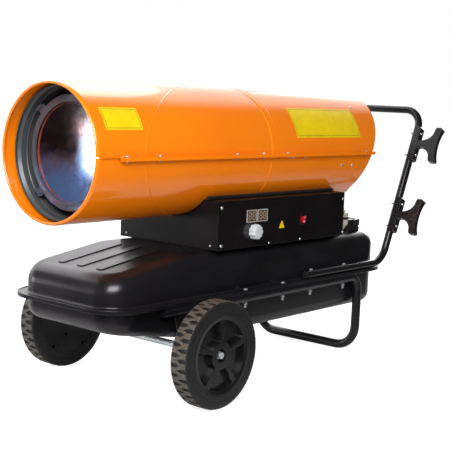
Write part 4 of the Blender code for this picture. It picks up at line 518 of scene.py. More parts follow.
# Display: a grey module behind the panel whose two windows stand just proud of it, each with
# two unlit digits of seven bars behind tinted glass in a pale frame.
frame_grey = finish("window_frame", (0.50, 0.47, 0.45), (0.38, 0.35, 0.33), (0.25, 0.4), clouds=90.0, grain=900.0)
glass = finish("tinted_window", (0.060, 0.042, 0.034), (0.085, 0.060, 0.048), (0.08, 0.16), clouds=70.0, grain=400.0,
               relief=0.03)
bars_tan = finish("unlit_bars", (0.42, 0.31, 0.20), (0.30, 0.21, 0.13), (0.3, 0.45), clouds=120.0, grain=900.0)
piece_low, piece_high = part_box("display_module")
window_y = piece_low.y
windows, panes, bars = bmesh.new(), bmesh.new(), bmesh.new()
slab(windows, (piece_low.x, window_y + 0.0033, piece_low.z), piece_high)
for x in (front + 0.509, front + 0.552):
    z, w, h = box_top - 0.042, 0.0192, 0.0152
    outer = slab(windows, (x - w, window_y, z - h), (x + w, window_y + 0.0040, z + h))
    windows.normal_update()
    face = min((f for v in outer for f in v.link_faces), key=lambda f: f.calc_center_median().y)
    bmesh.ops.inset_region(windows, faces=[face], thickness=0.0020, use_even_offset=True)
    bmesh.ops.translate(windows, verts=face.verts, vec=(0, 0.0012, 0))
    slab(panes, (x - w + 0.0021, window_y + 0.0005, z - h + 0.0021), (x + w - 0.0021, window_y + 0.0011, z + h - 0.0021))
    for centre in (x - 0.0078, x + 0.0078):
        for row in (-0.0088, 0, 0.0088):
            slab(bars, (centre - 0.0036, window_y + 0.0002, z + row - 0.0010),
                 (centre + 0.0036, window_y + 0.0006, z + row + 0.0010))
        for row in (-0.0044, 0.0044):
            for side in (-0.0048, 0.0048):
                slab(bars, (centre + side - 0.0010, window_y + 0.0002, z + row - 0.0033),
                     (centre + side + 0.0010, window_y + 0.0006, z + row + 0.0033))
ease(windows, sharp(windows, 60), 0.0004)
piece("display_frames", windows, frame_grey, "grey_plastic", "heater", "display_module")
piece("display_panes", panes, glass, "grey_plastic", "heater")
piece("digit_bars", bars, bars_tan, "grey_plastic", "heater")

# Caution plate: a small bare triangle of yellow enamelled foil stuck to the panel.
yellow = finish("yellow_foil", (0.84, 0.61, 0.0), (0.76, 0.54, 0.0), (0.22, 0.38), clouds=30.0, grain=900.0, relief=0.08)
triangle = bmesh.new()
lay = Matrix.Translation((front + 0.634, -box_half - 0.0002, 0.3868)) @ turns["Y"] @ Matrix.Rotation(math.pi, 4, "Z")
bmesh.ops.create_cone(triangle, cap_ends=True, segments=3, radius1=0.0135, radius2=0.0135, depth=0.0004, matrix=lay)
triangle.normal_update()
ease(triangle, [e for e in triangle.edges if abs(e.verts[0].co.y - e.verts[1].co.y) > 0.0002], 0.0018, 4)
piece("yellow_triangle", triangle, yellow, "white_plastic", "heater")

# Thermostat: a white moulded knob with shallow finger lobes on the spindle of a thermostat body
# behind the panel, with one raised rib on its rim as the pointer.
white_plastic = finish("white_knob", (0.58, 0.60, 0.61), (0.50, 0.52, 0.54), (0.25, 0.4), clouds=50.0, grain=700.0)
knob_at = (-0.1335, -0.165, 0.379)
grip = turned([(0, -0.0183), (0.0120, -0.0183), (0.0160, -0.0178), (0.0178, -0.0168), (0.0187, -0.0150), (0.0192, -0.0110),
               (0.0195, -0.0030), (0.0195, -0.0011), (0.0189, -0.0005), (0.0036, -0.0005), (0.0036, -0.0090),
               (0, -0.0090)], "Y", knob_at, 108)
lobed(grip, knob_at, "Y", 9, 0.0021, 0.0145)
bmesh.ops.remove_doubles(grip, verts=grip.verts, dist=0.00001)
slab(grip, (knob_at[0] - 0.0008, knob_at[1] - 0.0187, knob_at[2] + 0.0085),
     (knob_at[0] + 0.0008, knob_at[1] - 0.0180, knob_at[2] + 0.0160), 0)
piece("lobed_knob", grip, white_plastic, "white_plastic", "knob", "thermostat_knob", smooth=40)
eased("thermostat_case", "thermostat_body", black_plastic, "black_plastic", "heater", 0.0005)

# Mains switch: a snap-in housing with a bezel and a clear red rocker, marked with a bar and a ring.
red = finish("red_rocker", (0.62, 0.004, 0.010), (0.42, 0.002, 0.008), (0.10, 0.2), clouds=120.0, grain=400.0,
             relief=0.05, coat_weight=0.5)
mark_white = finish("mark_white", (0.75, 0.72, 0.70), (0.62, 0.60, 0.58), (0.3, 0.4), clouds=200.0)
eased("switch_bezel", "switch_housing", black_plastic, "black_plastic", "heater", 0.0005)
eased("rocker_key", "power_rocker", red, "red_plastic", "rocker", 0.0006, 3)
marks = bmesh.new()
slab(marks, (-0.0006, -0.0002, -0.0026), (0.0006, 0.0002, 0.0026))
bmesh.ops.transform(marks, matrix=Matrix.Translation((front + 0.722, -0.17358, 0.40267)) @ Matrix.Rotation(
    math.radians(18), 4, "X"), verts=marks.verts)
turned([(0.0018, -0.0002), (0.0027, -0.0002), (0.0027, 0.0002), (0.0018, 0.0002), (0.0018, -0.0002)], "Y",
       (front + 0.722, -0.17188, 0.3922), 32, marks)
piece("rocker_marks", marks, mark_white, "white_plastic", "rocker")
eased("control_circuit", "control_board", finish("circuit_green", (0.02, 0.12, 0.05), (0.03, 0.18, 0.07), (0.3, 0.5),
      clouds=90.0, grain=600.0, relief=0.5), "board_green", "heater", 0.0003)
eased("spark_transformer", "ignition_transformer", black_plastic, "black_plastic", "heater", 0.0010)
gland = turned([(0.0070, 0.0200), (0.0105, 0.0195), (0.0118, 0.0170), (0.0118, 0.0060), (0.0155, 0.0058), (0.0155, 0.0003),
                (0.0118, 0.0003), (0.0118, -0.0140), (0.0056, -0.0140), (0.0056, 0.0200), (0.0070, 0.0200)], "X",
               (front + 0.9175, 0.095, 0.3808), 48)
bmesh.ops.remove_doubles(gland, verts=gland.verts, dist=0.00001)
piece("cord_gland", gland, black_plastic, "black_plastic", "heater", "cable_gland")

# Heat tube: three curved sheets in bright orange stove enamel. The front edge is rolled inwards,
# each side has a flanged joint closed by bolts, and the two upper sheets lap at a bead.
tube_r, tube_z, sheet, slant = 0.159, 0.570, 0.0012, 0.45


def orange_enamel():
    """Deep glossy orange over sheet that is very slightly wavy along the tube."""
    m = finish("orange_enamel", (0.95, 0.228, 0.0012), (0.91, 0.204, 0.0010), (0.16, 0.24), clouds=3.0, grain=900.0,
               relief=0.05, coat_weight=0.6, coat_roughness=0.03)
    shader = m.node_tree.nodes["Principled BSDF"]
    place = add(m, "TexCoord").outputs["Object"]
    fine = shader.inputs["Normal"].links[0].from_socket
    along = add(m, "Mapping", {"Vector": place, "Scale": (1.6, 14.0, 14.0)})
    swell = add(m, "TexNoise", {"Vector": along.outputs[0], "Scale": 1.0, "Detail": 2.0})
    bump = add(m, "Bump", {"Height": swell.outputs["Fac"], "Strength": 0.35, "Distance": 0.004, "Normal": fine})
    m.node_tree.links.new(bump.outputs[0], shader.inputs["Normal"])
    return m


orange = orange_enamel()
nose = [(-0.0062, 0.1512), (-0.0080, 0.1520), (-0.0089, 0.1534), (-0.0089, 0.1550), (-0.0072, 0.1572), (-0.0040, 0.1586),
        (0.0, 0.1590)]
bead = [(0.0, 0.0), (0.0015, -0.0005), (0.0028, -0.0018), (0.004, -0.0024), (0.0052, -0.0018), (0.0065, -0.0005),
        (0.008, 0.0)]
lap = [(0.6090, 0.1590), (0.6094, 0.1576), (0.6200, 0.1576)]


def shell(name, rows, upper, cut_rear, *nodes):
    """One curved sheet: its section along the tube, swung half a turn, with lips along the joint."""
    bm = bmesh.new()
    sign = 1 if upper else -1
    points = [bm.verts.new((front + x, -r, tube_z)) for x, r in rows]
    edges = [bm.edges.new(pair) for pair in zip(points, points[1:])]
    made = bmesh.ops.spin(bm, geom=points + edges, cent=(front, 0, tube_z), axis=(-sign, 0, 0), angle=math.pi, steps=72)
    ends = {-1: points, 1: [g for g in made["geom_last"] if isinstance(g, bmesh.types.BMVert)]}
    stop = front + (0.6091 if rows[-1][1] < tube_r else 2)
    for y, side in ends.items():
        rim = [e for v in side for e in v.link_edges if e.other_vert(v) in side
               and min(w.co.x for w in e.verts) >= front - 0.0001 and max(w.co.x for w in e.verts) < stop]
        widest = 0.0105 if upper else 0.0075
        lip = bmesh.ops.extrude_edge_only(bm, edges=list(set(rim)))["geom"]
        lip = [g for g in lip if isinstance(g, bmesh.types.BMVert)]
        for v in lip:
            wide = (0.004 if y < 0 else 0.009) if v.co.x < front + 0.0455 else widest
            v.co.y = y * (tube_r + (wide if wide > 0.005 or upper else 0.003))
        if upper:
            turn = [e for v in lip for e in v.link_edges if e.other_vert(v) in lip
                    and min(w.co.x for w in e.verts) > front + 0.0495]
            edge = bmesh.ops.extrude_edge_only(bm, edges=list(set(turn)))["geom"]
            bmesh.ops.translate(bm, verts=[g for g in edge if isinstance(g, bmesh.types.BMVert)], vec=(0, 0, -0.008))
    if cut_rear:
        bmesh.ops.bisect_plane(bm, geom=bm.verts[:] + bm.edges[:] + bm.faces[:], clear_outer=True,
                               plane_co=(front + 1.058, 0, tube_z), plane_no=(1, 0, -slant))
    for y in (-1, 1):
        for off, height in ((-0.0045, 0.0), (-0.0018, 0.0006), (0.0, 0.0010), (0.0018, 0.0006), (0.0045, 0.0)):
            skin = [f for f in bm.faces if 0 < f.calc_center_median().y * y < tube_r]
            geom = skin + list({e for f in skin for e in f.edges}) + list({v for f in skin for v in f.verts})
            line = Vector((front + 0.136 + 1.83 * tube_r + off, 0, 0))
            cut = bmesh.ops.bisect_plane(bm, geom=geom, dist=1e-6, plane_co=line, plane_no=(1, 1.83 * y, 0))["geom_cut"]
            for v in cut:
                if isinstance(v, bmesh.types.BMVert) and abs(v.co.z - tube_z) > 0.003:
                    spoke = Vector((0, v.co.y, v.co.z - tube_z))
                    v.co += spoke.normalized() * (tube_r + height - spoke.length)
    lift = 0.0006 if upper else -0.0006
    for v in bm.verts:
        if abs(v.co.z - tube_z) < 0.0001:
            v.co.z += lift
    bmesh.ops.recalc_face_normals(bm, faces=bm.faces)
    crown = max(bm.faces, key=lambda f: (f.calc_center_median().z - tube_z) * sign)
    if crown.normal.z * sign < 0:
        bmesh.ops.reverse_faces(bm, faces=bm.faces)
    bmesh.ops.solidify(bm, geom=bm.faces[:], thickness=sheet)
    bm.normal_update()
    return piece(name, bm, orange, "orange_enamel", "heater", *nodes, smooth=40)


wide_rows = [(0.0455, 0.159), (0.0500, 0.159)]
beaded = [(0.584 + x, 0.159 + r) for x, r in bead]
shell("front_upper_sheet", nose + wide_rows + beaded + lap, True, False, "upper_shell_front")
shell("rear_upper_sheet", [(0.6108, 0.1595), (0.6128, 0.159), (1.20, 0.159)], True, True, "upper_shell_rear")
shell("lower_sheet", nose + wide_rows + beaded + [(1.20, 0.159)], False, True, "lower_shell")

# Joint bolts and shell screws: zinc heads over the lips with a nut below, and small pan heads
# round the rear of the tube.
fixings = bmesh.new()
for side in (-1, 1):
    for x in (0.074, 0.175, 0.444, 0.547, 0.647, 1.014):
        spot = (front + x, side * (tube_r + 0.0055), 0)
        screw(fixings, (spot[0], spot[1], tube_z + 0.0018), "Z", 0.0042, 0.0026)
        stud(fixings, spot, "Z", 0.0018, tube_z - 0.0125, tube_z + 0.002)
        hexagon(fixings, (spot[0], spot[1], tube_z - 0.0095), "Z", 0.0034, 0.0028)
    for x, z in ((0.679, 0.561), (0.732, 0.561), (0.908, 0.534), (0.960, 0.533), (1.008, 0.455), (1.015, 0.6918)):
        rise = math.asin((z - tube_z) / tube_r)
        way = Vector((0, side * math.cos(rise), math.sin(rise)))
        lay = Matrix.Translation(Vector((front + x, 0, tube_z)) + way * (tube_r + 0.0001))
        others = set(fixings.verts)
        screw(fixings, (0, 0, 0), "Z", 0.0040, 0.0020)
        turn = lay @ Vector((0, 0, 1)).rotation_difference(way).to_matrix().to_4x4()
        bmesh.ops.transform(fixings, matrix=turn, verts=list(set(fixings.verts) - others))
piece("shell_fixings", fixings, zinc, "zinc_steel", "heater")

# Rating plates: two bare sheets of yellow enamelled foil bonded to the near side of the tube,
# each with a thin printed border and nothing else.
border_ink = finish("border_ink", (0.05, 0.045, 0.02), (0.08, 0.07, 0.03), (0.3, 0.45), clouds=90.0)
for name, first, last, low, high, margin in (("small", 0.025, 0.136, 21.5, 41.4, 0.004),
                                             ("large", 0.698, 0.998, 14.5, 46.4, 0.005)):
    foil, ink = bmesh.new(), bmesh.new()

    def curved(bm, x0, x1, a0, a1, lift, thick):
        start = Vector((0, -math.cos(math.radians(a0)), math.sin(math.radians(a0)))) * (tube_r + lift)
        ends = [bm.verts.new((front + x, start.y, tube_z + start.z)) for x in (x0, x1)]
        edge = bm.edges.new(ends)
        made = bmesh.ops.spin(bm, geom=ends + [edge], cent=(0, 0, tube_z), axis=(-1, 0, 0),
                              angle=math.radians(a1 - a0), steps=20)
        return made

    curved(foil, first, last, low, high, 0.0004, 0)
    step = math.degrees(margin / tube_r)
    line = 0.0009
    turn = math.degrees(line / tube_r)
    for box in ((first + margin, last - margin, low + step, low + step + turn),
                (first + margin, last - margin, high - step - turn, high - step),
                (first + margin, first + margin + line, low + step, high - step),
                (last - margin - line, last - margin, low + step, high - step)):
        curved(ink, *box, 0.00055, 0)
    for bm, tag, look in ((foil, "yellow_plate", yellow), (ink, "plate_border", border_ink)):
        bmesh.ops.recalc_face_normals(bm, faces=bm.faces)
        if bm.faces[:][0].normal.y > 0:
            bmesh.ops.reverse_faces(bm, faces=bm.faces)
        bmesh.ops.solidify(bm, geom=bm.faces[:], thickness=0.0002)
        piece(f"{tag}_{name}", bm, look, "white_plastic", "heater")

# Heat liner and chamber: turned sheet-steel sleeves on the tube's axis. The liner is painted
# dark grey and centred by beads; the chamber behind the deflector is bare and heat-blued.
axis_at = (front, 0, tube_z)
liner_grey = finish("liner_paint", (0.072, 0.085, 0.091), (0.098, 0.112, 0.118), (0.30, 0.48), metallic=0.35,
                    clouds=8.0, grain=500.0, relief=0.2)
sleeve = [(0.151, 0.584), (0.151, 0.547), (0.1565, 0.540), (0.151, 0.533), (0.151, 0.041), (0.1565, 0.034), (0.151, 0.027),
          (0.151, 0.024), (0.150, 0.024), (0.150, 0.0268), (0.1552, 0.034), (0.150, 0.0412), (0.150, 0.057),
          (0.1492, 0.058), (0.1492, 0.0605), (0.150, 0.0615), (0.150, 0.5328), (0.1552, 0.540), (0.150, 0.5472),
          (0.150, 0.584), (0.151, 0.584)]
piece("liner_sleeve", turned(sleeve, "X", axis_at, 96), liner_grey, "liner_paint", "heater", "heat_liner")
rust = finish("heat_brown", (0.20, 0.10, 0.07), (0.12, 0.06, 0.05), (0.35, 0.6), metallic=0.6, clouds=30.0, grain=600.0,
              relief=0.3)
bead_line = turned([(0.1491, 0.0578), (0.1486, 0.0592), (0.1491, 0.0606)], "X", axis_at, 96)
bmesh.ops.recalc_face_normals(bead_line, faces=bead_line.faces)
bmesh.ops.solidify(bead_line, geom=bead_line.faces[:], thickness=0.0003)
piece("liner_bead_line", bead_line, rust, "heat_steel", "heater")
burnt = finish("burnt_steel", (0.16, 0.14, 0.16), (0.24, 0.19, 0.17), (0.25, 0.5), metallic=0.9, clouds=12.0, grain=600.0,
               relief=0.25)
drum = [(0.122, 0.540), (0.122, 0.060), (0.1205, 0.060), (0.1205, 0.5385), (0.052, 0.5385), (0.052, 0.540), (0.122, 0.540)]
piece("chamber_drum", turned(drum, "X", axis_at, 72), burnt, "heat_steel", "heater", "combustion_chamber")
eased("front_chamber_ring", "chamber_support_front", burnt, "zinc_steel", "heater", 0.0004)
eased("rear_chamber_ring", "chamber_support_rear", burnt, "zinc_steel", "heater", 0.0004)

# Flame deflector: a dished plate with a flat ring and four bent tabs, in bare steel. Firing has
# tinted it purple and straw at the top and deep blue below; the pale silver on the near side is a painted highlight.


def tinted_steel():
    """Bare steel with heat tints that change round and across the plate, scratches and soot, and a painted highlight on
    the near side.
    """
    m = finish("heat_tinted_steel", (0.34, 0.21, 0.23), (0.21, 0.14, 0.165), (0.12, 0.26), metallic=1.0, clouds=16.0,
               grain=350.0, relief=0.06)
    shader = m.node_tree.nodes["Principled BSDF"]
    tone = shader.inputs["Base Color"].links[0].from_socket
    place = add(m, "TexCoord").outputs["Object"]
    lay = add(m, "Mapping", {"Vector": place, "Location": (-front, 0, -tube_z)})
    apart = add(m, "SeparateXYZ", {0: lay.outputs[0]})
    stir = add(m, "TexNoise", {"Vector": place, "Scale": 22.0, "Detail": 8.0, "Roughness": 0.65})
    wander = add(m, "MapRange", {"Value": stir.outputs["Fac"], "From Min": 0.3, "From Max": 0.7, "To Min": -0.03,
                                 "To Max": 0.03})

    def band(axis, low, high):
        moved = add(m, "Math", {0: apart.outputs[axis], 1: wander.outputs[0]}, operation="ADD")
        return add(m, "MapRange", {"Value": moved.outputs[0], "From Min": low, "From Max": high},
                   interpolation_type="SMOOTHSTEP").outputs[0]

    def over(share, under, colour):
        return add(m, "Mix", {0: share, 6: under, 7: (*colour, 1)}, data_type="RGBA").outputs[2]

    near_side = over(band("Y", 0.012, -0.022), tone, (0.25, 0.29, 0.40))
    low_half = band("Z", 0.005, -0.075)
    colour = over(low_half, near_side, (0.22, 0.36, 0.78))
    straw = add(m, "Math", {0: band("Z", 0.035, 0.10), 1: 0.55}, operation="MULTIPLY").outputs[0]
    colour = over(straw, colour, (0.30, 0.22, 0.20))
    # Painted highlight: the near side is pale silver above its lower edge, where the lamp's reflection falls.
    highlight_side = band("Y", -0.034, -0.064)
    highlight_reach = band("Z", -0.075, -0.01)
    bright = add(m, "Math", {0: highlight_side, 1: highlight_reach}, operation="MULTIPLY").outputs[0]
    colour = over(bright, colour, (0.92, 0.96, 1.0))
    streaks = add(m, "Mapping", {"Vector": lay.outputs[0], "Scale": (1, 90, 14), "Rotation": (0.5, 0, 0)})
    scratch = add(m, "TexNoise", {"Vector": streaks.outputs[0], "Scale": 3.0, "Detail": 4.0, "Roughness": 0.8})
    thin = add(m, "MapRange", {"Value": scratch.outputs["Fac"], "From Min": 0.62, "From Max": 0.70, "To Max": 0.8})
    colour = over(thin.outputs[0], colour, (0.62, 0.66, 0.75))
    flat = add(m, "CombineXYZ", {0: apart.outputs["Y"], 1: apart.outputs["Z"]})
    reach = add(m, "VectorMath", {0: flat.outputs[0]}, operation="LENGTH")
    edge = add(m, "MapRange", {"Value": reach.outputs["Value"], "From Min": 0.1125, "From Max": 0.1150})
    dull = add(m, "MapRange", {"Value": stir.outputs["Fac"], "From Min": 0.42, "From Max": 0.62, "To Min": 1.0,
                               "To Max": 0.45})
    bare = add(m, "Math", {0: edge.outputs[0], 1: dull.outputs[0]}, operation="MULTIPLY")
    colour = over(bare.outputs[0], colour, (0.14, 0.165, 0.205))
    m.node_tree.links.new(colour, shader.inputs["Base Color"])
    metal = add(m, "MapRange", {"Value": edge.outputs[0], "To Min": 1.0, "To Max": 0.6})
    m.node_tree.links.new(metal.outputs[0], shader.inputs["Metallic"])
    return m


tinted = tinted_steel()
dish = []
for k in range(17):
    share = k / 16
    dish.append((0.107 * share, 0.0647 + 0.016 * (1 - share * share)))
plate = [(r, x + 0.0015) for r, x in dish[:-1]] + [(0.1085, 0.0660), (0.1085, 0.0597), (0.126, 0.0597), (0.126, 0.0582),
         (0.1230, 0.0578), (0.1200, 0.0586), (0.1120, 0.0586), (0.1095, 0.0578), (0.1072, 0.0588)] + dish[::-1]
plate = [(r * 1.035, x - 0.003) for r, x in plate]
deflector = turned(plate, "X", axis_at, 96)
for k in range(4):
    turn = Matrix.Translation(axis_at) @ Matrix.Rotation(quarter * (k + 0.5), 4, "X")
    others = set(deflector.verts)
    slab(deflector, (0.0442, -0.011, 0.1355), (0.0560, 0.011, 0.1370))
    slab(deflector, (0.0538, -0.011, 0.1265), (0.0552, 0.011, 0.1370))
    slab(deflector, (0.0445, -0.0045, 0.1340), (0.0560, 0.0045, 0.1356))
    tab = set(deflector.verts) - others
    deflector.normal_update()
    ease(deflector, {e for v in tab for e in v.link_edges}, 0.0004, 1)
    bmesh.ops.transform(deflector, matrix=turn, verts=list(set(deflector.verts) - others))
piece("dished_deflector", deflector, tinted, "heat_steel", "heater", "flame_deflector", smooth=30)
rim_line = turned([(0.1108, 0.0570), (0.1104, 0.0595), (0.1108, 0.0615)], "X", axis_at, 96)
bmesh.ops.recalc_face_normals(rim_line, faces=rim_line.faces)
bmesh.ops.solidify(rim_line, geom=rim_line.faces[:], thickness=0.0003)
piece("deflector_rim_scale", rim_line, finish("red_scale", (0.42, 0.10, 0.05), (0.25, 0.07, 0.05), (0.4, 0.6),
      metallic=0.4, clouds=40.0, relief=0.3), "heat_steel", "heater")

# Burner head with its nozzle and probes, the motor, fan and air pump behind it, in line.
cast = finish("cast_alloy", (0.46, 0.47, 0.48), (0.34, 0.35, 0.36), (0.35, 0.55), metallic=0.9, clouds=40.0, grain=500.0,
              relief=0.5)
motor_paint = finish("motor_paint", (0.045, 0.046, 0.050), (0.065, 0.066, 0.070), (0.35, 0.5), metallic=0.3, clouds=30.0,
                     grain=900.0, relief=0.3)
brass = finish("nozzle_brass", (0.66, 0.46, 0.17), (0.50, 0.34, 0.12), (0.25, 0.4), metallic=1.0, clouds=60.0)
ceramic = finish("electrode_ceramic", (0.78, 0.76, 0.70), (0.66, 0.62, 0.55), (0.15, 0.3), clouds=60.0)
eased("air_diffuser", "burner_head", burnt, "zinc_steel", "heater", 0.0004)
eased("brass_nozzle", "oil_nozzle", brass, "brass", "heater", 0.0004)
for side in ("left", "right"):
    eased(f"spark_rod_{side}", f"electrode_{side}", ceramic, "ceramic", "heater", 0.0003)
eased("flame_eye", "flame_sensor", black_plastic, "black_plastic", "heater", 0.0003)
motor_at = (front + 0.770, 0, tube_z)
ribs = [(0.050, 0.150)]
for k in range(3):
    x = 0.136 - 0.12200 / 3 * k
    ribs += [(0.062, x), (0.062, x - 0.0203), (0.0595, x - 0.0203), (0.0595, x - 0.0406)]
ribs += [(0.050, 0.0), (0.0078, 0.0), (0.0078, 0.150), (0.050, 0.150)]
motor = turned(ribs, "X", motor_at, 64)
bmesh.ops.remove_doubles(motor, verts=motor.verts, dist=0.00001)
motor.normal_update()
ease(motor, sharp(motor), 0.0010)
piece("motor_case", motor, motor_paint, "motor_paint", "heater", "fan_motor")
eased("motor_spindle", "motor_shaft", zinc, "zinc_steel", "rotor", 0.0005)
eased("fan_wheel", "axial_fan", cast, "cast_alloy", "rotor", 0.0004)
for end in ("front", "rear"):
    eased(f"motor_saddle_{end}", f"motor_mount_{end}", zinc, "zinc_steel", "heater", 0.0006)
pump_at = (front + 0.9203, 0, tube_z)
pump = turned([(0.052, 0.036), (0.052, 0), (0.0078, 0), (0.0078, 0.005), (0.040, 0.005), (0.040, 0.036), (0.052, 0.036)],
              "X", pump_at, 64)
bmesh.ops.remove_doubles(pump, verts=pump.verts, dist=0.00001)
pump.normal_update()
ease(pump, sharp(pump), 0.0008)
piece("pump_case", pump, cast, "cast_alloy", "heater", "air_pump_housing")
eased("pump_vane_rotor", "air_pump_rotor", cast, "cast_alloy", "rotor", 0.0004)
cover_at = (pump_at[0] + 0.0363, 0, tube_z)
cover = turned([(0, 0.018), (0.044, 0.018), (0.046, 0.016), (0.046, 0.003), (0.052, 0.003), (0.052, 0), (0.044, 0),
                (0.044, 0.016), (0, 0.016)], "X", cover_at, 64)
stud(cover, (cover_at[0], 0.018, tube_z + 0.018), "X", 0.014, 0.016, 0.0260, 48)
for k in range(3):
    turn = 2 * math.pi * (k + 0.2) / 3
    screw(cover, (cover_at[0] + 0.003, 0.049 * math.sin(turn), tube_z + 0.049 * math.cos(turn)), "X", 0.0028, 0.0018)
piece("pump_filter_cover", cover, black_plastic, "black_plastic", "heater", "air_filter_cover")

# Rear guard: zinc wire rings welded to six spokes, set into the slanted rear mouth of the tube.
guard = bmesh.new()
rim_r = 0.1548
for k in range(1, 9):
    r = 0.022 + (rim_r - 0.022) * k / 8
    wire = 0.0020 if k == 8 else 0.0014
    circle = [(r + wire * math.cos(a), wire * math.sin(a)) for a in [2 * math.pi * i / 10 for i in range(11)]]
    turned(circle, "Z", (0, 0, 0), 64, guard)
turned([(0, -0.002), (0.021, -0.002), (0.022, -0.001), (0.022, 0.001), (0.021, 0.002), (0, 0.002)], "Z", (0, 0, 0), 40,
       guard)
for k in range(6):
    spoke = 2 * math.pi * (k + 0.5) / 6
    others = set(guard.verts)
    stud(guard, (0, 0, 0), "Z", 0.0016, 0.018, rim_r, 12)
    lay = Matrix.Rotation(spoke, 4, "Z") @ Matrix.Rotation(quarter, 4, "Y")
    bmesh.ops.transform(guard, matrix=lay, verts=list(set(guard.verts) - others))
lean = Matrix(((1, 0, slant, 0), (0, 1, 0, 0), (0, 0, 1, 0), (0, 0, 0, 1)))
lay = Matrix.Translation((front + 1.058 - 0.014, 0, tube_z)) @ lean @ turns["X"]
bmesh.ops.transform(guard, matrix=lay, verts=guard.verts)
piece("wire_guard", guard, zinc, "zinc_steel", "heater", "rear_guard", smooth=50)

# Push handle: one black-coated tube bent into a loop, its ends plugged and bolted on the rim of
# the tank, with two moulded cord hooks clamped to the near upright by screws.
handle_front, foot_x, top_x, low_z, top_z = front + 0.737, front + 1.1155, front + 1.301, 0.2482, 0.691
loop = bent_tube([(handle_front, -rail_y, low_z), (foot_x, -rail_y, low_z), (top_x, -rail_y, top_z),
                  (top_x, rail_y, top_z), (foot_x, rail_y, low_z), (handle_front, rail_y, low_z)],
                 (0.070, 0.057, 0.057, 0.070), 0.0109, 32, 14)
piece("handle_loop", loop, black_satin, "black_satin", "heater", "push_handle")
for side, name in ((-1, "right"), (1, "left")):
    plug = turned([(0, -0.0003), (0.0108, -0.0003), (0.0110, -0.0008), (0.0108, -0.0022), (0.0096, -0.0036),
                   (0.0070, -0.0042), (0, -0.0043)], "X", (handle_front, side * rail_y, low_z), 40)
    piece(f"handle_plug_{name}", plug, black_plastic, "black_plastic", "heater", f"handle_end_cap_{name}")
lean = math.atan2(top_x - foot_x, top_z - low_z)
along = Vector((math.sin(lean), 0, math.cos(lean)))
for name, level_z in (("upper", 0.590), ("lower", 0.383)):
    hook = eased(f"hook_{name}", f"cord_hook_{name}", black_plastic, "black_plastic", "heater", 0.0042, 4)
    share = (level_z - low_z) / (top_z - low_z)
    middle = Vector((foot_x + (top_x - foot_x) * share, -rail_y, level_z))
    across = Vector((math.cos(lean), 0, -math.sin(lean)))
    for v in hook.data.vertices:
        p = v.co - middle
        slim = 0.42 * min(1, max(0, (-p.y - 0.030) / 0.035)) * (1 - 0.65 * min(1, (along.dot(p) / 0.050) ** 2))
        v.co -= across * across.dot(p) * slim
    pins = bmesh.new()
    for offset in (-0.034, 0.034):
        spot = middle + along * offset
        screw(pins, spot + Vector((0, -0.0170, 0)), "Y", 0.0040, -0.0026)
        stud(pins, spot, "Y", 0.0020, -0.0172, 0.0205)
        hexagon(pins, spot + Vector((0, 0.0112, 0)), "Y", 0.0042, 0.0032)
    piece(f"hook_screws_{name}", pins, zinc, "zinc_steel", "heater")

# Studio: a white floor and a bright backdrop behind, one long softbox over the far side and one
# beside the nozzle, seen from the catalogue's low three-quarter view.
ground = bpy.data.meshes.new("floor")
bm = bmesh.new()
bmesh.ops.create_grid(bm, x_segments=1, y_segments=1, size=30, matrix=Matrix.Translation((0, 0, -0.0005)))
bm.to_mesh(ground)
bm.free()
studio_floor = bpy.data.objects.new("studio_floor", ground)
bpy.context.scene.collection.objects.link(studio_floor)
paper = bpy.data.materials.new("white_paper")
paper.use_nodes = True
sheet_of_paper = paper.node_tree.nodes["Principled BSDF"]
sheet_of_paper.inputs["Roughness"].default_value = 0.9
sheet_of_paper.inputs["Specular IOR Level"].default_value = 0.0
seen = add(paper, "LightPath")
# Painted shade in reflections: to glossy rays the floor turns almost black away from the heater, standing in for floor
# the lamps leave unlit.
spot = add(paper, "SeparateXYZ", {0: add(paper, "TexCoord").outputs["Object"]})
near = add(paper, "MapRange", {"Value": spot.outputs["Y"], "From Min": -0.35, "From Max": -0.8})
ahead = add(paper, "MapRange", {"Value": spot.outputs["X"], "From Min": -0.7, "From Max": -1.3})
far = add(paper, "Math", {0: near.outputs[0], 1: ahead.outputs[0]}, operation="MAXIMUM")
reflected_floor_shade = add(paper, "Math", {0: far.outputs[0], 1: seen.outputs["Is Glossy Ray"]}, operation="MULTIPLY")
tone = add(paper, "Mix", {0: reflected_floor_shade.outputs[0], 6: (0.6, 0.6, 0.6, 1), 7: (0.03, 0.03, 0.03, 1)}, data_type="RGBA")
paper.node_tree.links.new(tone.outputs[2], sheet_of_paper.inputs["Base Color"])
glow = add(paper, "Math", {0: seen.outputs["Is Camera Ray"], 1: 0.84}, operation="MULTIPLY")
paper.node_tree.links.new(glow.outputs[0], sheet_of_paper.inputs["Emission Strength"])
sheet_of_paper.inputs["Emission Color"].default_value = (1, 1, 1, 1)
ground.materials.append(paper)

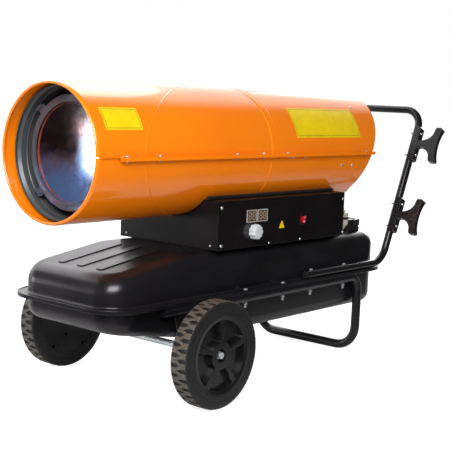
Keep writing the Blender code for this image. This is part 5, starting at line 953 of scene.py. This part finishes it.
world = bpy.data.worlds.new("studio")
bpy.context.scene.world = world
world.use_nodes = True
seen = add(world, "LightPath")
compass = add(world, "TexCoord").outputs["Generated"]
toward = add(world, "VectorMath", {0: compass, 1: (0.55, 0.75, 0.36)}, operation="DOT_PRODUCT")
backdrop = add(world, "MapRange", {"Value": toward.outputs["Value"], "From Min": 0.56, "From Max": 0.80,
                                   "To Min": 0.05, "To Max": 1.3}, interpolation_type="SMOOTHSTEP")
aside = add(world, "VectorMath", {0: compass, 1: (-0.6, 0.8, 0.0)}, operation="DOT_PRODUCT")
wing = add(world, "MapRange", {"Value": aside.outputs["Value"], "From Min": 0.5, "From Max": 1.0, "To Max": 0.27})
bright = add(world, "Math", {0: backdrop.outputs[0], 1: wing.outputs[0]}, operation="ADD")
plain = add(world, "Mix", {0: seen.outputs["Is Camera Ray"], 2: 0.30, 3: 1.0})
mirror = add(world, "Math", {0: seen.outputs["Is Glossy Ray"], 1: seen.outputs["Is Transmission Ray"]}, operation="MAXIMUM")
strength = add(world, "Mix", {0: mirror.outputs[0], 2: plain.outputs[0], 3: bright.outputs[0]})
world.node_tree.links.new(strength.outputs[0], world.node_tree.nodes["Background"].inputs["Strength"])
world.node_tree.nodes["Background"].inputs["Color"].default_value = (1, 1, 1, 1)


def softbox(name, place, target, size, power):
    light = bpy.data.lights.new(name, "AREA")
    light.shape = "RECTANGLE"
    light.size, light.size_y = size
    light.energy = power
    made = bpy.data.objects.new(name, light)
    aim = (Vector(target) - Vector(place)).to_track_quat("-Z", "Y")
    made.matrix_world = Matrix.Translation(place) @ aim.to_matrix().to_4x4()
    bpy.context.scene.collection.objects.link(made)


softbox("softbox_overhead", (0.2, 1.8, 2.6), (0, 0.5, 0.6), (4.0, 2.2), 62)
softbox("softbox_key", (-2.45, -1.6, 1.95), (-0.2, 0, 0.45), (1.9, 1.4), 118)
softbox("softbox_rear_left", (-1.73, 2.15, 0.33), (-0.6, -0.1, 0.57), (0.8, 0.6), 9)
softbox("softbox_behind", (2.9, 0.9, 1.3), (0.5, 0, 0.5), (1.6, 1.2), 26)

camera = bpy.data.objects.new("camera", bpy.data.cameras.new("camera"))
bpy.context.scene.collection.objects.link(camera)
camera.data.lens, camera.data.sensor_width = 84.2, 36
yaw, pitch, roll = math.radians(50.16), math.radians(6.95), math.radians(2.356)
ahead = Vector((math.sin(yaw) * math.cos(pitch), math.cos(yaw) * math.cos(pitch), -math.sin(pitch)))
level = Vector((math.cos(yaw), -math.sin(yaw), 0))
rise = level.cross(ahead)
across = level * math.cos(roll) + rise * math.sin(roll)
upward = rise * math.cos(roll) - level * math.sin(roll)
stand = Matrix((across, upward, -ahead)).transposed().to_4x4()
camera.matrix_world = Matrix.Translation((-2.1679, -1.7699, 0.7081)) @ stand
bpy.context.scene.camera = camera
bpy.context.scene.view_settings.view_transform = "Standard"
